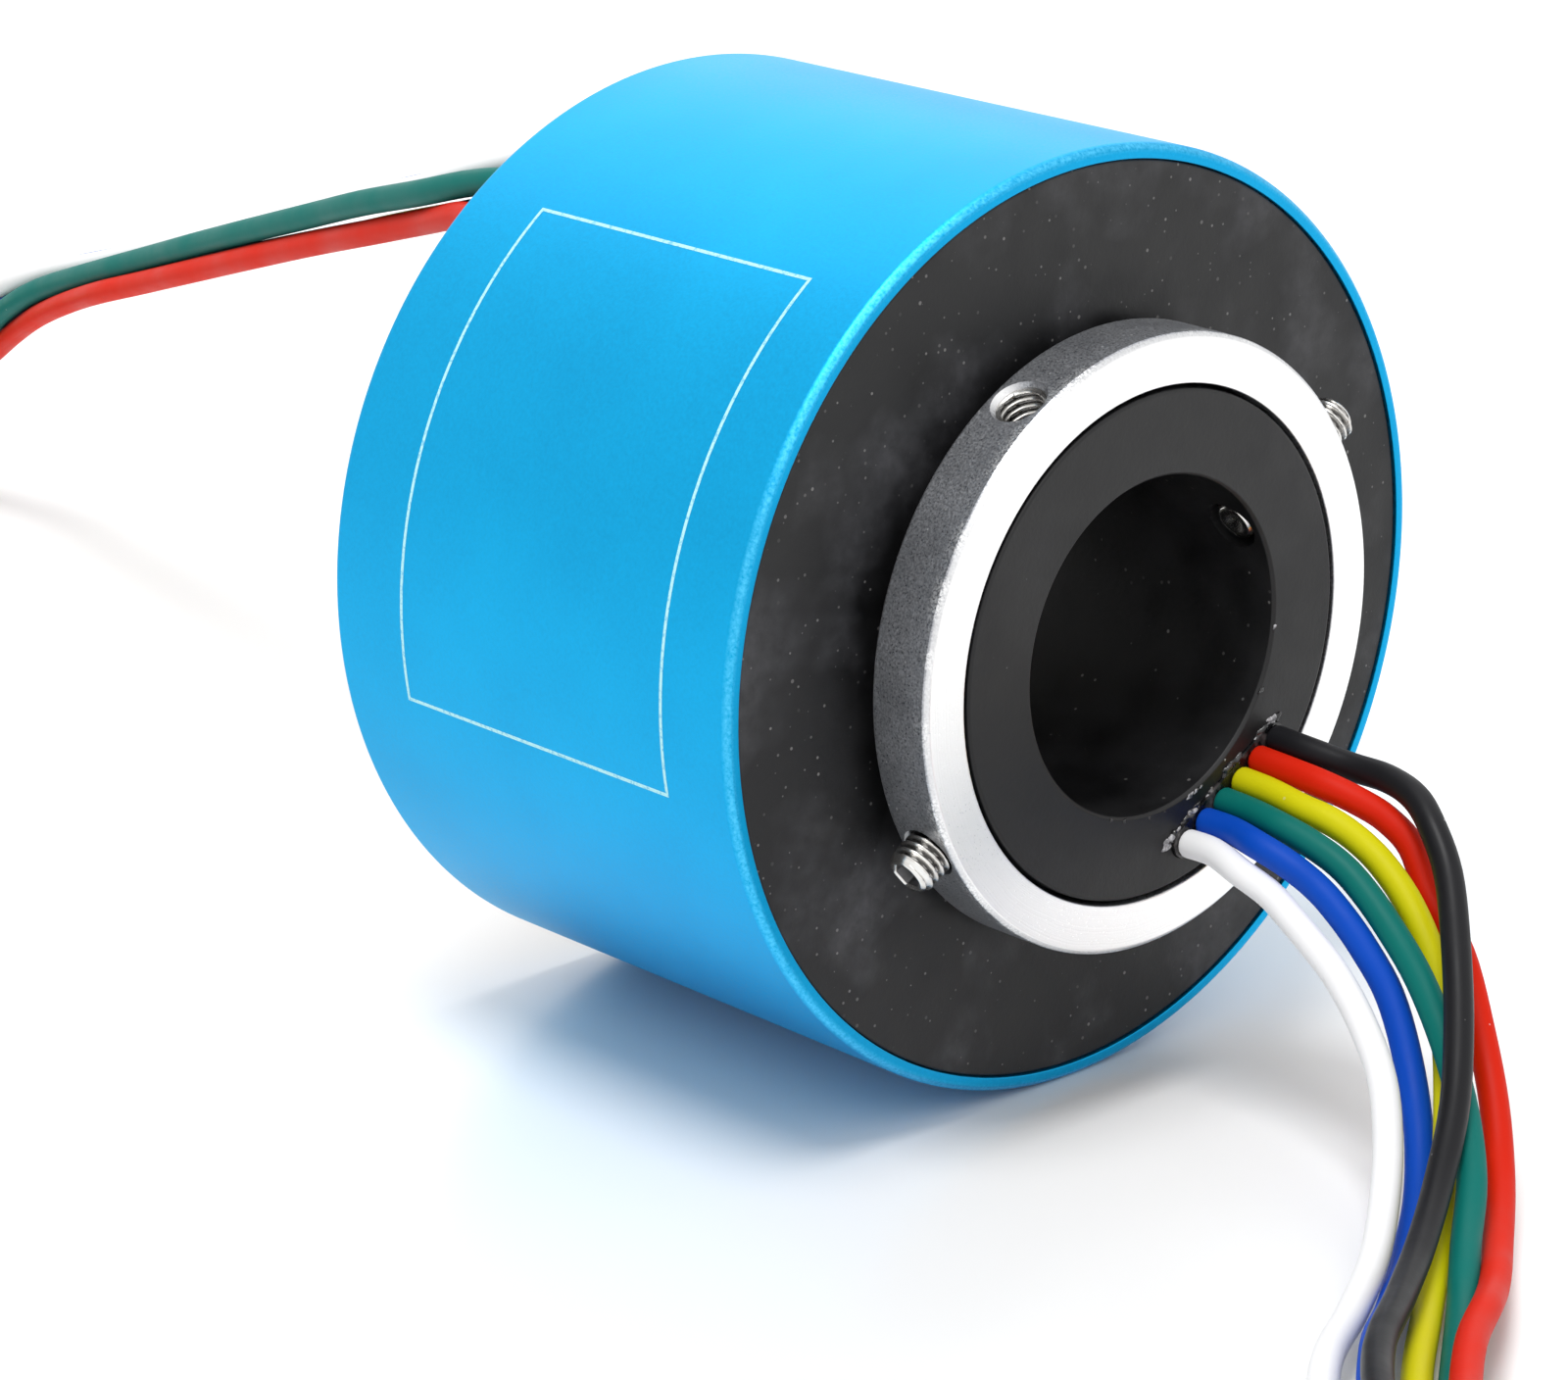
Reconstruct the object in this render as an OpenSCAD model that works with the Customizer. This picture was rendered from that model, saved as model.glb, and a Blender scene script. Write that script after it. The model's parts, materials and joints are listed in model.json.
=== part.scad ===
// Through-bore slip ring with six circuits, flying leads on both ends.
// +X runs along the shaft towards the clamp collar, +Z is up.
// The origin is on the shaft axis, in the plane of the barrel's front rim.

/* [Barrel] */
// Outer diameter of the barrel
body_od = 56; // [55:1:62]
// Length of the barrel
body_len = 34.4; // [33.4:0.2:40]
// Wall of the barrel between its two cover seats
barrel_wall = 2; // [1.6:0.2:2.2]
// Wall of the thin rim round each cover
rim_wall = 0.9; // [0.7:0.1:1.2]
// Chamfer on the barrel's outer edges
barrel_chamfer = 0.35; // [0.2:0.05:0.6]

/* [Covers] */
// Depth of the cover faces below the barrel's rims
cover_recess = 0.15; // [0.1:0.05:0.5]
// Depth of the cover seats in the barrel
seat_depth = 4; // [3:0.25:4.5]
// Thickness of the lip that holds each bearing in its cover
lip_t = 1; // [0.8:0.1:1.4]
// Edge break on the covers
cover_chamfer = 0.2; // [0.1:0.05:0.3]

/* [Rotor] */
// Bore for the customer's shaft
bore_d = 20; // [18:0.5:21]
// Wall of the rotor sleeve
sleeve_wall = 5; // [4.8:0.1:5.2]
// How far the sleeve stands out of the barrel's front
nose_len = 5.4; // [5:0.1:7]
// Height of the shoulder between the front bearing and the collar
shoulder_h = 1.2; // [0.8:0.1:1.2]
// Edge break at both ends of the bore
bore_chamfer = 0.4; // [0.2:0.1:0.8]

/* [Clamp collar] */
// Radial thickness of the clamp collar
collar_wall = 2.95; // [2.2:0.05:4]
// Width of the clamp collar
collar_w = 4.5; // [4:0.1:4.6]
// Radial gap between the collar and the sleeve
collar_gap = 0.25; // [0.1:0.05:0.4]
// Edge break on the clamp collar
collar_chamfer = 0.3; // [0.2:0.1:0.6]
// Thread size of the set screws
screw_d = 3; // [2.5:0.5:3]
// Length of the set screws
screw_len = 10; // [8:0.5:12]
// Angle of the first tapped hole, from +Y towards +Z
screw_angle = 30; // [20:1:40]

/* [Contact rings] */
// Width of a contact ring
ring_w = 2.2; // [1.8:0.1:2.3]
// Radial thickness of the brush carrier under the barrel's wall
carrier_t = 4.2; // [3.8:0.1:4.6]
// Gap between the brush carrier and the insulators
carrier_gap = 0.75; // [0.5:0.05:1.2]
// Depth of the V groove that the brushes run in
groove_depth = 1; // [0.7:0.1:1.2]
// Thickness of the insulators between two rings
insulator_t = 1.2; // [0.8:0.1:1.25]
// How far the insulators stand over the rings
insulator_over = 1; // [0.5:0.1:1]
// Turn of the brush carrier round the shaft, from +Y towards +Z
brush_angle = 107.5; // [90:0.5:120]
// Wire of the brushes
brush_wire = 0.4; // [0.3:0.05:0.45]

/* [Bearings] */
// Width of the thin-section bearings
bearing_w = 4; // [3.5:0.1:4]
// Radial height of the bearings
bearing_h = 3.5; // [3.5:0.1:4]
// Diameter of the balls
ball_d = 2; // [1.8:0.1:2.1]
// Balls in each bearing
ball_count = 20; // [12:1:20]
// Thickness of the retaining ring
clip_t = 1; // [0.8:0.1:1.2]

/* [Leads] */
// Outer diameter of a lead
lead_d = 1.7; // [1.6:0.1:1.8]
// Diameter of the stripped and tinned ends
tip_d = 1.1; // [0.8:0.1:1.2]
// Length of the stripped ends
tip_len = 6; // [4:0.5:6]
// Thickness of the ties round the lead coils
tie_t = 0.7; // [0.5:0.1:0.7]
// Width of the ties
tie_w = 2.5; // [2:0.1:3.5]

/* [Hidden] */
$fn = 96;
fit_gap = 0.05;              // radial gap of pieces seated in one another
run_gap = 0.4;               // gap between the covers and the turning sleeve
circuits = 6;
floor_z = -28;               // the surface that the barrel and the leads lie on

body_r = body_od / 2;
barrel_in_r = body_r - barrel_wall;
seat_r = body_r - rim_wall;
cover_r = seat_r - fit_gap;
spigot_r = barrel_in_r - fit_gap;

bore_r = bore_d / 2;
sleeve_r = bore_r + sleeve_wall;
shoulder_r = sleeve_r + shoulder_h;
collar_x = nose_len - collar_w;
collar_in_r = sleeve_r + collar_gap;
collar_r = collar_in_r + collar_wall;
screw_x = collar_x + collar_w / 2;
tap_r = screw_d / 2 - 0.25;  // minor radius of the thread
screw_root_r = bore_r + 0.15;
HOLE_TURNS = [0, 90, 180];   // tapped holes round the collar, from the first one
SCREW_TURNS = [0, 180];      // the ones that hold a set screw

// bearings: the front one behind the front lip, the rear one behind its clip
front_x1 = -cover_recess - lip_t;
front_x0 = front_x1 - bearing_w;
rear_x0 = -body_len + cover_recess + lip_t + clip_t;
rear_x1 = rear_x0 + bearing_w;
race_in_r = sleeve_r + fit_gap;
race_out_r = sleeve_r + bearing_h;
ball_r = ball_d / 2;
pitch_r = sleeve_r + bearing_h / 2;
track_gap = 0.03;
track_r = ball_r + track_gap;
race_gap = 0.55;             // half of the open space between the two races
cage_t = 0.6;
cage_w = ball_d + 0.8;
pocket_r = race_out_r + fit_gap;

// the stack of rings between the two bearings
stack_len = front_x0 - rear_x1;
pitch = ring_w + insulator_t;
end_t = (stack_len - circuits * ring_w - (circuits - 1) * insulator_t) / 2;
carrier_low = spigot_r - carrier_t;
insulator_r = carrier_low - carrier_gap;
ring_r = insulator_r - insulator_over;
groove_r = ring_r - groove_depth;
boss_t = end_t / 4;
boss_r = pitch_r - race_gap - 0.1;

function ring_x(i) = rear_x1 + end_t + ring_w / 2 + pitch * i;

// brushes and their carrier
carrier_half = 6;
carrier_end_gap = 0.1;
arm_y = 4;
arm_z = carrier_low + 1.4;
arm_r = groove_r + brush_wire / 2 + 0.03;
arm_over = 1.5;

// lead exits
lead_r = lead_d / 2;
row_r = bore_r + 2;          // from the shaft axis to the middle of the straight row
row_step = lead_d + 0.04;
row_angle = -57.6;           // direction in which the row lies from the axis
row_pocket = 2.5;
potting_out = 0.2;
potting_side = 0.15;
slot_wall = 1.4;             // between a bearing's pocket and the lead slot
rear_row_r = pocket_r + slot_wall + lead_r + potting_side;
rear_step = 5;
rear_angle = 95;
end_blend = 0.01;            // how far a slot's round ends stand over its sides

// coils of the leads beyond both ends
lead_step = 1.84;
layers = 6;
coil_base = floor_z + tie_t;
coil_h = lead_d + (layers - 1) * lead_step;
ROTOR_COIL = [77, -36];
STATOR_COIL = [-168, 4];
rotor_coil_out = 14.5;
rotor_coil_in = 6.7;
stator_coil_out = 13.9;
stator_coil_in = 8;
rotor_tip_angle = 303;
stator_tip_angle = 162;
rotor_tie_angle = 20;
stator_tie_angle = -60;

NAMES = ["black", "red", "yellow", "green", "blue", "white"];

ROTOR_ROUTES = [
  [[5.6, 10.1, -7.8], [8.3, 10.1, -7.8], [11.1, 10.9, -8], [13.9, 10.8, -8.2],
   [16.3, 10.3, -8.7], [18.5, 9.5, -9.7], [20.7, 8.2, -11.6], [23.4, 5.8, -14.2],
   [26.4, 2.7, -17.2], [29.4, -1, -20.3], [32.1, -5.4, -22.8], [35.2, -10.5, -23.9],
   [39, -16.6, -23.6], [43.4, -23.3, -22.4], [48.9, -29.7, -21.1], [55.2, -35.7, -19.5],
   [61.8, -41.2, -17.9], [68.5, -46.6, -17.2]],
  [[5.6, 8.6, -8.7], [8.1, 8.6, -8.7], [10.9, 8.7, -8.5], [13.2, 9.3, -9.2],
   [14.9, 9.8, -10.2], [16.6, 9.9, -11.6], [18.6, 9.4, -13.7], [21.5, 8.6, -16.3],
   [24.4, 7, -19.4], [27.5, 4.8, -22.6], [30.6, 1.4, -25.1], [34.5, -3.3, -26.1],
   [39.9, -9.5, -25.2], [44.6, -17.4, -23.8], [50.5, -25.2, -22.4],
   [56.7, -32.6, -20.9], [62.7, -39.7, -19.7], [68.5, -46.6, -19]],
  [[5.6, 7.2, -9.7], [8, 7.2, -9.7], [10.8, 7.1, -9.6], [12.9, 7.4, -9.9],
   [14.7, 7.8, -10.8], [16.6, 7.8, -12], [18.9, 7.5, -13.8], [21.4, 6.6, -16.4],
   [23.9, 4.7, -19.4], [26.6, 1.9, -22.2], [29.8, -2, -24.3], [33.3, -6.7, -25.8],
   [37.6, -12.6, -26.3], [42.7, -19.4, -25.5], [48.8, -26.7, -24.8],
   [55.3, -33.8, -24.1], [61.9, -40.5, -23.3], [68.5, -46.6, -22.7]],
  [[5.6, 5.7, -10.6], [7.9, 5.7, -10.6], [10.5, 5.4, -10.4], [12.8, 5.7, -10.8],
   [14.8, 6.1, -11.7], [16.8, 6.1, -12.8], [19.2, 5.5, -14.4], [22.2, 4.5, -16.5],
   [25.5, 2.8, -19.1], [28.9, 0.5, -21.5], [32.2, -2.7, -23.4], [35.3, -6.8, -24.9],
   [39.2, -11.7, -25.9], [43.9, -17.8, -25.6], [49.6, -25, -24.3], [55.9, -32.6, -22.7],
   [62.1, -39.9, -21.4], [68.5, -46.6, -20.9]],
  [[5.6, 4.2, -11.5], [7.9, 4.2, -11.5], [10.5, 3.7, -11.2], [12.7, 4.1, -11.6],
   [14.5, 4.6, -12.7], [16.2, 4.7, -13.9], [18.3, 4.5, -15.6], [20.6, 3.9, -17.9],
   [23.1, 2.5, -20.7], [25.9, 0.3, -23.6], [28.9, -3.2, -25.8], [32.1, -8, -26.8],
   [36, -13.6, -26.2], [40.6, -20.3, -24.7], [47.1, -27.9, -24.8], [54.4, -35, -25.2],
   [61.6, -41.2, -25.1], [68.5, -46.6, -24.6]],
  [[5.6, 2.8, -12.5], [7.8, 2.8, -12.5], [10.1, 2.6, -12.9], [12.2, 2.8, -13.6],
   [14, 2.9, -14.5], [15.8, 2.7, -15.4], [18.1, 2.2, -16.6], [21, 1.1, -18.4],
   [24.2, -1, -20.5], [27.3, -4, -22.5], [30.1, -7.5, -24.3], [32.7, -11.3, -25.4],
   [35.5, -16.2, -25.8], [39.2, -22.5, -25.5], [45.4, -29.3, -26.1],
   [53.2, -35.6, -26.9], [61, -41.4, -27.2], [68.5, -46.6, -26.4]]
];

STATOR_ROUTES = [
  [[-34.4, -8.9, 19], [-39.2, -8.9, 19], [-43.2, -7.2, 18], [-47.6, -5.3, 17],
   [-54, -3.3, 15.1], [-62.3, -1.3, 12.6], [-71.7, 1.1, 9.8], [-81.3, 3.7, 6.9],
   [-91.5, 6.3, 3.7], [-102.2, 9.1, 0.3], [-113.5, 12.2, -3.1], [-124.3, 15.2, -6.5],
   [-132.8, 18, -10.1], [-139.8, 19.9, -14], [-145.5, 20.1, -17.2], [-150.9, 19.3, -20],
   [-156.4, 18.4, -22.4], [-162, 17.7, -24.1], [-168, 17, -24.6]],
  [[-34.4, -10.5, 18.1], [-38.4, -10.5, 18.1], [-41.8, -9.9, 17.7], [-46.2, -7.9, 17.4],
   [-52.7, -5.6, 15.5], [-61.3, -3.4, 12.9], [-70.6, -1, 10.1], [-80.2, 1.5, 7.1],
   [-90.3, 4.1, 3.9], [-101, 6.9, 0.5], [-112.3, 9.8, -3.1], [-122.7, 13, -6.9],
   [-130.9, 16, -10.4], [-137.9, 17.8, -14.2], [-143.8, 18.2, -17.9],
   [-149.6, 17.9, -21.4], [-155.7, 17.6, -24.5], [-161.9, 17.2, -26.6],
   [-168, 17, -26.4]],
  [[-34.4, -1.8, 20.9], [-39.5, -1.8, 20.9], [-43.8, -2.3, 18.8], [-48.3, -2.2, 16.6],
   [-55, -1.1, 14.8], [-63.5, 0.9, 12.3], [-72.8, 3.3, 9.4], [-82.4, 5.9, 6.5],
   [-92.6, 8.4, 3.4], [-103.4, 11.3, 0.1], [-114.8, 14.5, -3.4], [-125.1, 17.4, -6.6],
   [-132.6, 19.4, -8.4], [-138.6, 19.6, -9.4], [-144.2, 19, -11.3], [-150, 18.5, -13.5],
   [-155.8, 17.8, -15.1], [-161.7, 17.2, -16.1], [-168, 17, -17.2]],
  [[-34.4, -7.2, 19.7], [-38.2, -7.2, 19.7], [-41.6, -7.1, 20.1], [-46.2, -6.9, 19.3],
   [-53.4, -5.8, 17.2], [-62.1, -3.5, 14.7], [-71.3, -0.9, 11.8], [-80.8, 1.8, 8.8],
   [-90.8, 4.6, 5.6], [-101.5, 7.6, 2.1], [-112.8, 10.6, -1.6], [-123.1, 13.1, -5.1],
   [-130.4, 15, -8.2], [-136.2, 16.2, -11.5], [-142, 16.6, -14.8],
   [-148.4, 16.8, -17.8], [-154.9, 16.9, -20.5], [-161.4, 16.8, -22.3],
   [-168, 17, -22.7]],
  [[-34.4, -5.4, 20.2], [-39, -5.4, 20.2], [-43.5, -4.8, 18.8], [-48.8, -3.3, 18.2],
   [-55.8, -1.3, 16.8], [-64.3, 1, 14.3], [-73.5, 3.5, 11.4], [-83, 6.2, 8.3],
   [-93.1, 9, 5.1], [-103.9, 12, 1.7], [-115.5, 14.8, -1.7], [-126, 16.9, -4.9],
   [-133.1, 17.7, -8], [-138.2, 18.1, -11.3], [-143.6, 18.3, -14.1],
   [-149.6, 18.1, -16.6], [-155.6, 17.6, -18.7], [-161.6, 17.1, -20.2],
   [-168, 17, -20.9]],
  [[-34.4, -3.6, 20.6], [-38.7, -3.6, 20.6], [-42.8, -4.1, 21.1], [-47.5, -5, 19.7],
   [-54.6, -3.7, 17.2], [-63.2, -1.3, 14.6], [-72.4, 1.3, 11.7], [-81.9, 4, 8.6],
   [-92, 6.8, 5.4], [-102.9, 9.8, 2.1], [-114.4, 12.7, -1.4], [-124.7, 14.9, -4.4],
   [-131.7, 15.8, -6.7], [-136.8, 16.3, -9], [-142.4, 16.8, -11.7], [-148.6, 17, -14.4],
   [-155.1, 17.1, -16.7], [-161.7, 17.2, -18.4], [-168, 17, -19]]
];

LAYER_OF = [5, 4, 2, 3, 1, 0];         // layer of each rotor lead in its coil
REAR_LAYER_OF = [1, 0, 5, 2, 3, 4];    // layer of each stator lead in its coil

// ---- shared shapes ----

// Turns a profile of [radius, x] points round the shaft axis
module turned(points) {
  rotate([0, 90, 0]) rotate_extrude() polygon(points);
}

// Plain ring between two radii and two stations along the shaft
module ring(out_r, in_r, x0, x1) {
  turned([[in_r, x0], [out_r, x0], [out_r, x1], [in_r, x1]]);
}

// Cylinder that points outwards from the shaft, at an angle from +Y towards +Z
module radial(r, from, to, x, angle) {
  rotate([angle, 0, 0])
    translate([x, from, 0]) rotate([-90, 0, 0]) cylinder(r = r, h = to - from, $fn = 48);
}

// Kidney-shaped slot or plug that follows a row of leads round the shaft
module kidney(row, half, a0, a1, x0, x1) {
  rotate([a0, 0, 0]) rotate([0, 90, 0]) rotate([0, 0, 90])
    translate([0, 0, x0]) {
      rotate_extrude(angle = a1 - a0)
        translate([row - half + end_blend, 0]) square([2 * (half - end_blend), x1 - x0]);
      for (a = [0, a1 - a0])
        rotate([0, 0, a]) translate([row, 0, 0]) cylinder(r = half, h = x1 - x0, $fn = 32);
    }
}

// Straight slot or plug with round ends, for the row of leads in the sleeve's nose
module lead_row(half, x0, x1) {
  reach = row_step * (circuits - 1) / 2;
  rotate([row_angle, 0, 0]) translate([x0, row_r, 0]) rotate([90, 0, 90])
    linear_extrude(x1 - x0) hull() for (side = [-1, 1])
      translate([0, side * reach]) circle(half, $fn = 32);
}

// Catmull-Rom point between p1 and p2
function spline(p0, p1, p2, p3, t) =
  0.5 * ((2 * p1) + (p2 - p0) * t + (2 * p0 - 5 * p1 + 4 * p2 - p3) * t * t
         + (3 * p1 - p0 - 3 * p2 + p3) * t * t * t);

// Route made denser, with n steps between two of its points
function dense(p, n) = let (m = len(p) - 1)
  [for (i = [0 : m - 1], k = [0 : n - 1])
     spline(p[max(i - 1, 0)], p[i], p[i + 1], p[min(i + 2, m)], k / n),
   p[m]];

function unit(v) = v / norm(v);
// A lead leaves square to the face that it comes out of
function heading(p, i) = i == 0 ? unit([p[1].x - p[0].x, 0, 0])
  : unit(p[min(i + 1, len(p) - 1)] - p[i - 1]);

// Round tube of eight sides along a route
module swept(route, r, steps) {
  sides = 8;
  path = dense(route, steps);
  rings = len(path);
  points = [for (i = [0 : rings - 1])
    let (t = heading(path, i), n = unit(cross([0, 0, 1], t)), b = cross(t, n))
      for (k = [0 : sides - 1])
        path[i] + r * (cos(360 * k / sides) * n + sin(360 * k / sides) * b)];
  walls = [for (i = [0 : rings - 2], k = [0 : sides - 1])
    let (j = (k + 1) % sides, a = i * sides, c = a + sides)
      each [[a + k, c + k, a + j], [a + j, c + k, c + j]]];
  start = [for (k = [0 : sides - 1]) k];
  end = [for (k = [sides - 1 : -1 : 0]) (rings - 1) * sides + k];
  polyhedron(points, concat(walls, [start], [end]), convexity = 6);
}

// ---- stator ----

module housing() {
  color("deepskyblue") difference() {
    turned([
      [barrel_in_r, seat_depth - body_len], [seat_r, seat_depth - body_len],
      [seat_r, -body_len], [body_r - barrel_chamfer, -body_len],
      [body_r, barrel_chamfer - body_len], [body_r, -barrel_chamfer],
      [body_r - barrel_chamfer, 0], [seat_r, 0],
      [seat_r, -seat_depth], [barrel_in_r, -seat_depth]]);
  }
}

module front_cover() {
  hole_r = shoulder_r + run_gap;
  face = -cover_recess;
  color("dimgray") turned([
    [hole_r, face], [cover_r - cover_chamfer, face], [cover_r, face - cover_chamfer],
    [cover_r, -seat_depth], [spigot_r, -seat_depth], [spigot_r, front_x0],
    [pocket_r, front_x0], [pocket_r, front_x1], [hole_r, front_x1]]);
}

module rear_cover() {
  hole_r = sleeve_r + run_gap;
  face = cover_recess - body_len;
  seat = seat_depth - body_len;
  color("dimgray") difference() {
    turned([
      [hole_r, face], [cover_r - cover_chamfer, face], [cover_r, face + cover_chamfer],
      [cover_r, seat], [spigot_r, seat], [spigot_r, rear_x1],
      [pocket_r, rear_x1], [pocket_r, face + lip_t], [hole_r, face + lip_t]]);
    kidney(rear_row_r, lead_r + potting_side, rear_angle, rear_angle + rear_step * (circuits - 1),
           face - 1, rear_x1 + 1);
  }
}

// Outer race with its half of the ball track
module outer_race(x0) {
  color("lightsteelblue") rotate([0, 90, 0]) rotate_extrude() difference() {
    translate([pitch_r + race_gap, x0])
      square([race_out_r - pitch_r - race_gap, bearing_w]);
    translate([pitch_r, x0 + bearing_w / 2]) circle(r = track_r, $fn = 32);
  }
}

// Inner race with its half of the ball track
module inner_race(x0) {
  color("lightsteelblue") rotate([0, 90, 0]) rotate_extrude() difference() {
    translate([race_in_r, x0]) square([pitch_r - race_gap - race_in_r, bearing_w]);
    translate([pitch_r, x0 + bearing_w / 2]) circle(r = track_r, $fn = 32);
  }
}

module balls(x0) {
  color("silver") for (i = [0 : ball_count - 1])
    rotate([360 * i / ball_count, 0, 0])
      translate([x0 + bearing_w / 2, pitch_r, 0]) sphere(r = ball_r, $fn = 32);
}

// One-piece cage: a thin ring with a round pocket for each ball
module cage(x0) {
  mid = x0 + bearing_w / 2;
  color("goldenrod") difference() {
    ring(pitch_r + cage_t / 2, pitch_r - cage_t / 2, mid - cage_w / 2, mid + cage_w / 2);
    for (i = [0 : ball_count - 1])
      radial(track_r, pitch_r - cage_t, pitch_r + cage_t, mid, 360 * i / ball_count);
  }
}

// Bar under the barrel's wall, with a slot over each contact ring
module brush_carrier() {
  x0 = rear_x1 + carrier_end_gap;
  x1 = front_x0 - carrier_end_gap;
  color("darkolivegreen") rotate([brush_angle - 90, 0, 0]) difference() {
    intersection() {
      translate([x0, -carrier_half, carrier_low])
        cube([x1 - x0, 2 * carrier_half, barrel_in_r - carrier_low]);
      rotate([0, 90, 0]) translate([0, 0, x0]) cylinder(r = spigot_r, h = x1 - x0);
    }
    for (i = [0 : circuits - 1])
      translate([ring_x(i) - brush_wire / 2 - fit_gap, -carrier_half - 1, carrier_low - 1])
        cube([brush_wire + 2 * fit_gap, 2 * carrier_half + 2,
              arm_z + brush_wire / 2 + fit_gap - carrier_low + 1]);
  }
}

// Sprung wire whose two arms run in the groove on either side of its ring
module brush(i) {
  reach = norm([arm_y, arm_z]);
  len = sqrt(reach * reach - arm_r * arm_r) + arm_over;
  lean = atan2(arm_z, arm_y) - acos(arm_r / reach);
  color("gold") rotate([brush_angle - 90, 0, 0]) translate([ring_x(i), 0, 0]) {
    translate([0, -arm_y, arm_z]) rotate([-90, 0, 0])
      cylinder(d = brush_wire, h = 2 * arm_y, $fn = 24);
    for (side = [0, 1]) mirror([0, side, 0]) translate([0, arm_y, arm_z]) {
      sphere(d = brush_wire, $fn = 24);
      rotate([lean - 180, 0, 0]) cylinder(d = brush_wire, h = len, $fn = 24);
    }
  }
}

module stator_lead_potting() {
  face = cover_recess - body_len;
  color("black") kidney(rear_row_r, lead_r + potting_side - fit_gap, rear_angle,
    rear_angle + rear_step * (circuits - 1), -body_len, face + 3);
}

// ---- rotor ----

module rotor_sleeve() {
  groove_x0 = rear_x0 - clip_t;
  groove_r = sleeve_r - 0.7;
  edge = 0.3;
  color("dimgray") difference() {
    turned([
      [bore_r + bore_chamfer, -body_len], [sleeve_r - edge, -body_len],
      [sleeve_r, edge - body_len], [sleeve_r, groove_x0], [groove_r, groove_x0],
      [groove_r, rear_x0], [sleeve_r, rear_x0], [sleeve_r, front_x1],
      [shoulder_r, front_x1], [shoulder_r, collar_x], [sleeve_r, collar_x],
      [sleeve_r, nose_len - edge], [sleeve_r - edge, nose_len],
      [bore_r + bore_chamfer, nose_len], [bore_r, nose_len - bore_chamfer],
      [bore_r, bore_chamfer - body_len]]);
    for (a = HOLE_TURNS)
      radial(screw_d / 2 + 0.15, bore_r - 1, sleeve_r + 1, screw_x, screw_angle + a);
    lead_row(lead_r + potting_side, nose_len - row_pocket, nose_len + 1);
  }
}

module clamp_collar() {
  c = collar_chamfer;
  color("gainsboro") difference() {
    turned([
      [collar_in_r, collar_x], [collar_r - c, collar_x], [collar_r, collar_x + c],
      [collar_r, nose_len - c], [collar_r - c, nose_len], [collar_in_r, nose_len]]);
    for (a = HOLE_TURNS)
      radial(len(search(a, SCREW_TURNS)) > 0 ? screw_d / 2 : tap_r,
             sleeve_r - 1, collar_r + 1, screw_x, screw_angle + a);
  }
}

// Socket set screws, from the bore out through the sleeve and the collar
module set_screws() {
  r = screw_d / 2 - 0.02;
  c = 0.4;
  socket = screw_d / 2;
  color("silver") for (a = SCREW_TURNS)
    rotate([screw_angle + a, 0, 0]) translate([screw_x, screw_root_r, 0])
      rotate([-90, 0, 0]) difference() {
        rotate_extrude($fn = 48) polygon([
          [0, 0.3], [0.5, 0], [r - c, 0], [r, c], [r, screw_len - c],
          [r - c, screw_len], [0, screw_len]]);
        translate([0, 0, screw_len - socket])
          cylinder(d = socket / cos(30), h = socket + 1, $fn = 6);
      }
}

module contact_ring(i) {
  mid = ring_x(i);
  half = ring_w / 2;
  flat = brush_wire / 2 + 0.1;
  flare = flat + groove_depth * 0.5;
  color("gold") turned([
    [race_in_r, mid - half], [ring_r, mid - half], [ring_r, mid - flare],
    [groove_r, mid - flat], [groove_r, mid + flat], [ring_r, mid + flare],
    [ring_r, mid + half], [race_in_r, mid + half]]);
}

// Insulator before ring i; the two end ones have a boss that meets a bearing
module ring_insulator(i) {
  x0 = i == 0 ? rear_x1 : ring_x(i) - ring_w / 2 - insulator_t;
  x1 = i == circuits ? front_x0 : ring_x(i) - ring_w / 2;
  face0 = i == 0 ? x0 + boss_t : x0;
  start = i == circuits ? ring_x(circuits - 1) + ring_w / 2 : face0;
  stop = i == circuits ? x1 - boss_t : x1;
  color("ivory") union() {
    ring(insulator_r, race_in_r, start, stop);
    if (i == 0) ring(boss_r, race_in_r, x0, start);
    if (i == circuits) ring(boss_r, race_in_r, stop, x1);
  }
}

// Spring clip in the sleeve's groove, open at one side
module retaining_ring() {
  x = rear_x0 - clip_t + fit_gap;
  t = clip_t - 2 * fit_gap;
  in_r = sleeve_r - 0.6;
  out_r = sleeve_r + 1.4;
  half_gap = 12;
  color("slategray") rotate([0, 90, 0]) translate([0, 0, x]) difference() {
    union() {
      rotate([0, 0, half_gap]) rotate_extrude(angle = 360 - 2 * half_gap)
        translate([in_r, 0]) square([out_r - in_r, t]);
      for (a = [half_gap, -half_gap]) rotate([0, 0, a])
        translate([out_r - 0.2, 0, 0]) cylinder(r = 1.3, h = t, $fn = 32);
    }
    for (a = [half_gap, -half_gap]) rotate([0, 0, a])
      translate([out_r - 0.2, 0, -1]) cylinder(r = 0.5, h = t + 2, $fn = 24);
  }
}

module rotor_lead_potting() {
  color("black") lead_row(lead_r + potting_side - fit_gap, nose_len - row_pocket,
    nose_len + potting_out);
}

// ---- leads ----

// Outer shape of the leads wound into a round coil
module lead_coil(centre, in_r, out_r) {
  round_r = lead_r;
  color("gray") translate([centre.x, centre.y, coil_base]) rotate_extrude() polygon([
    [in_r + round_r, 0], [out_r - round_r, 0], [out_r - round_r * 0.3, round_r * 0.3],
    [out_r, round_r], [out_r, coil_h - round_r], [out_r - round_r * 0.3, coil_h - round_r * 0.3],
    [out_r - round_r, coil_h], [in_r + round_r, coil_h],
    [in_r + round_r * 0.3, coil_h - round_r * 0.3], [in_r, coil_h - round_r],
    [in_r, round_r], [in_r + round_r * 0.3, round_r * 0.3]]);
}

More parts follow.
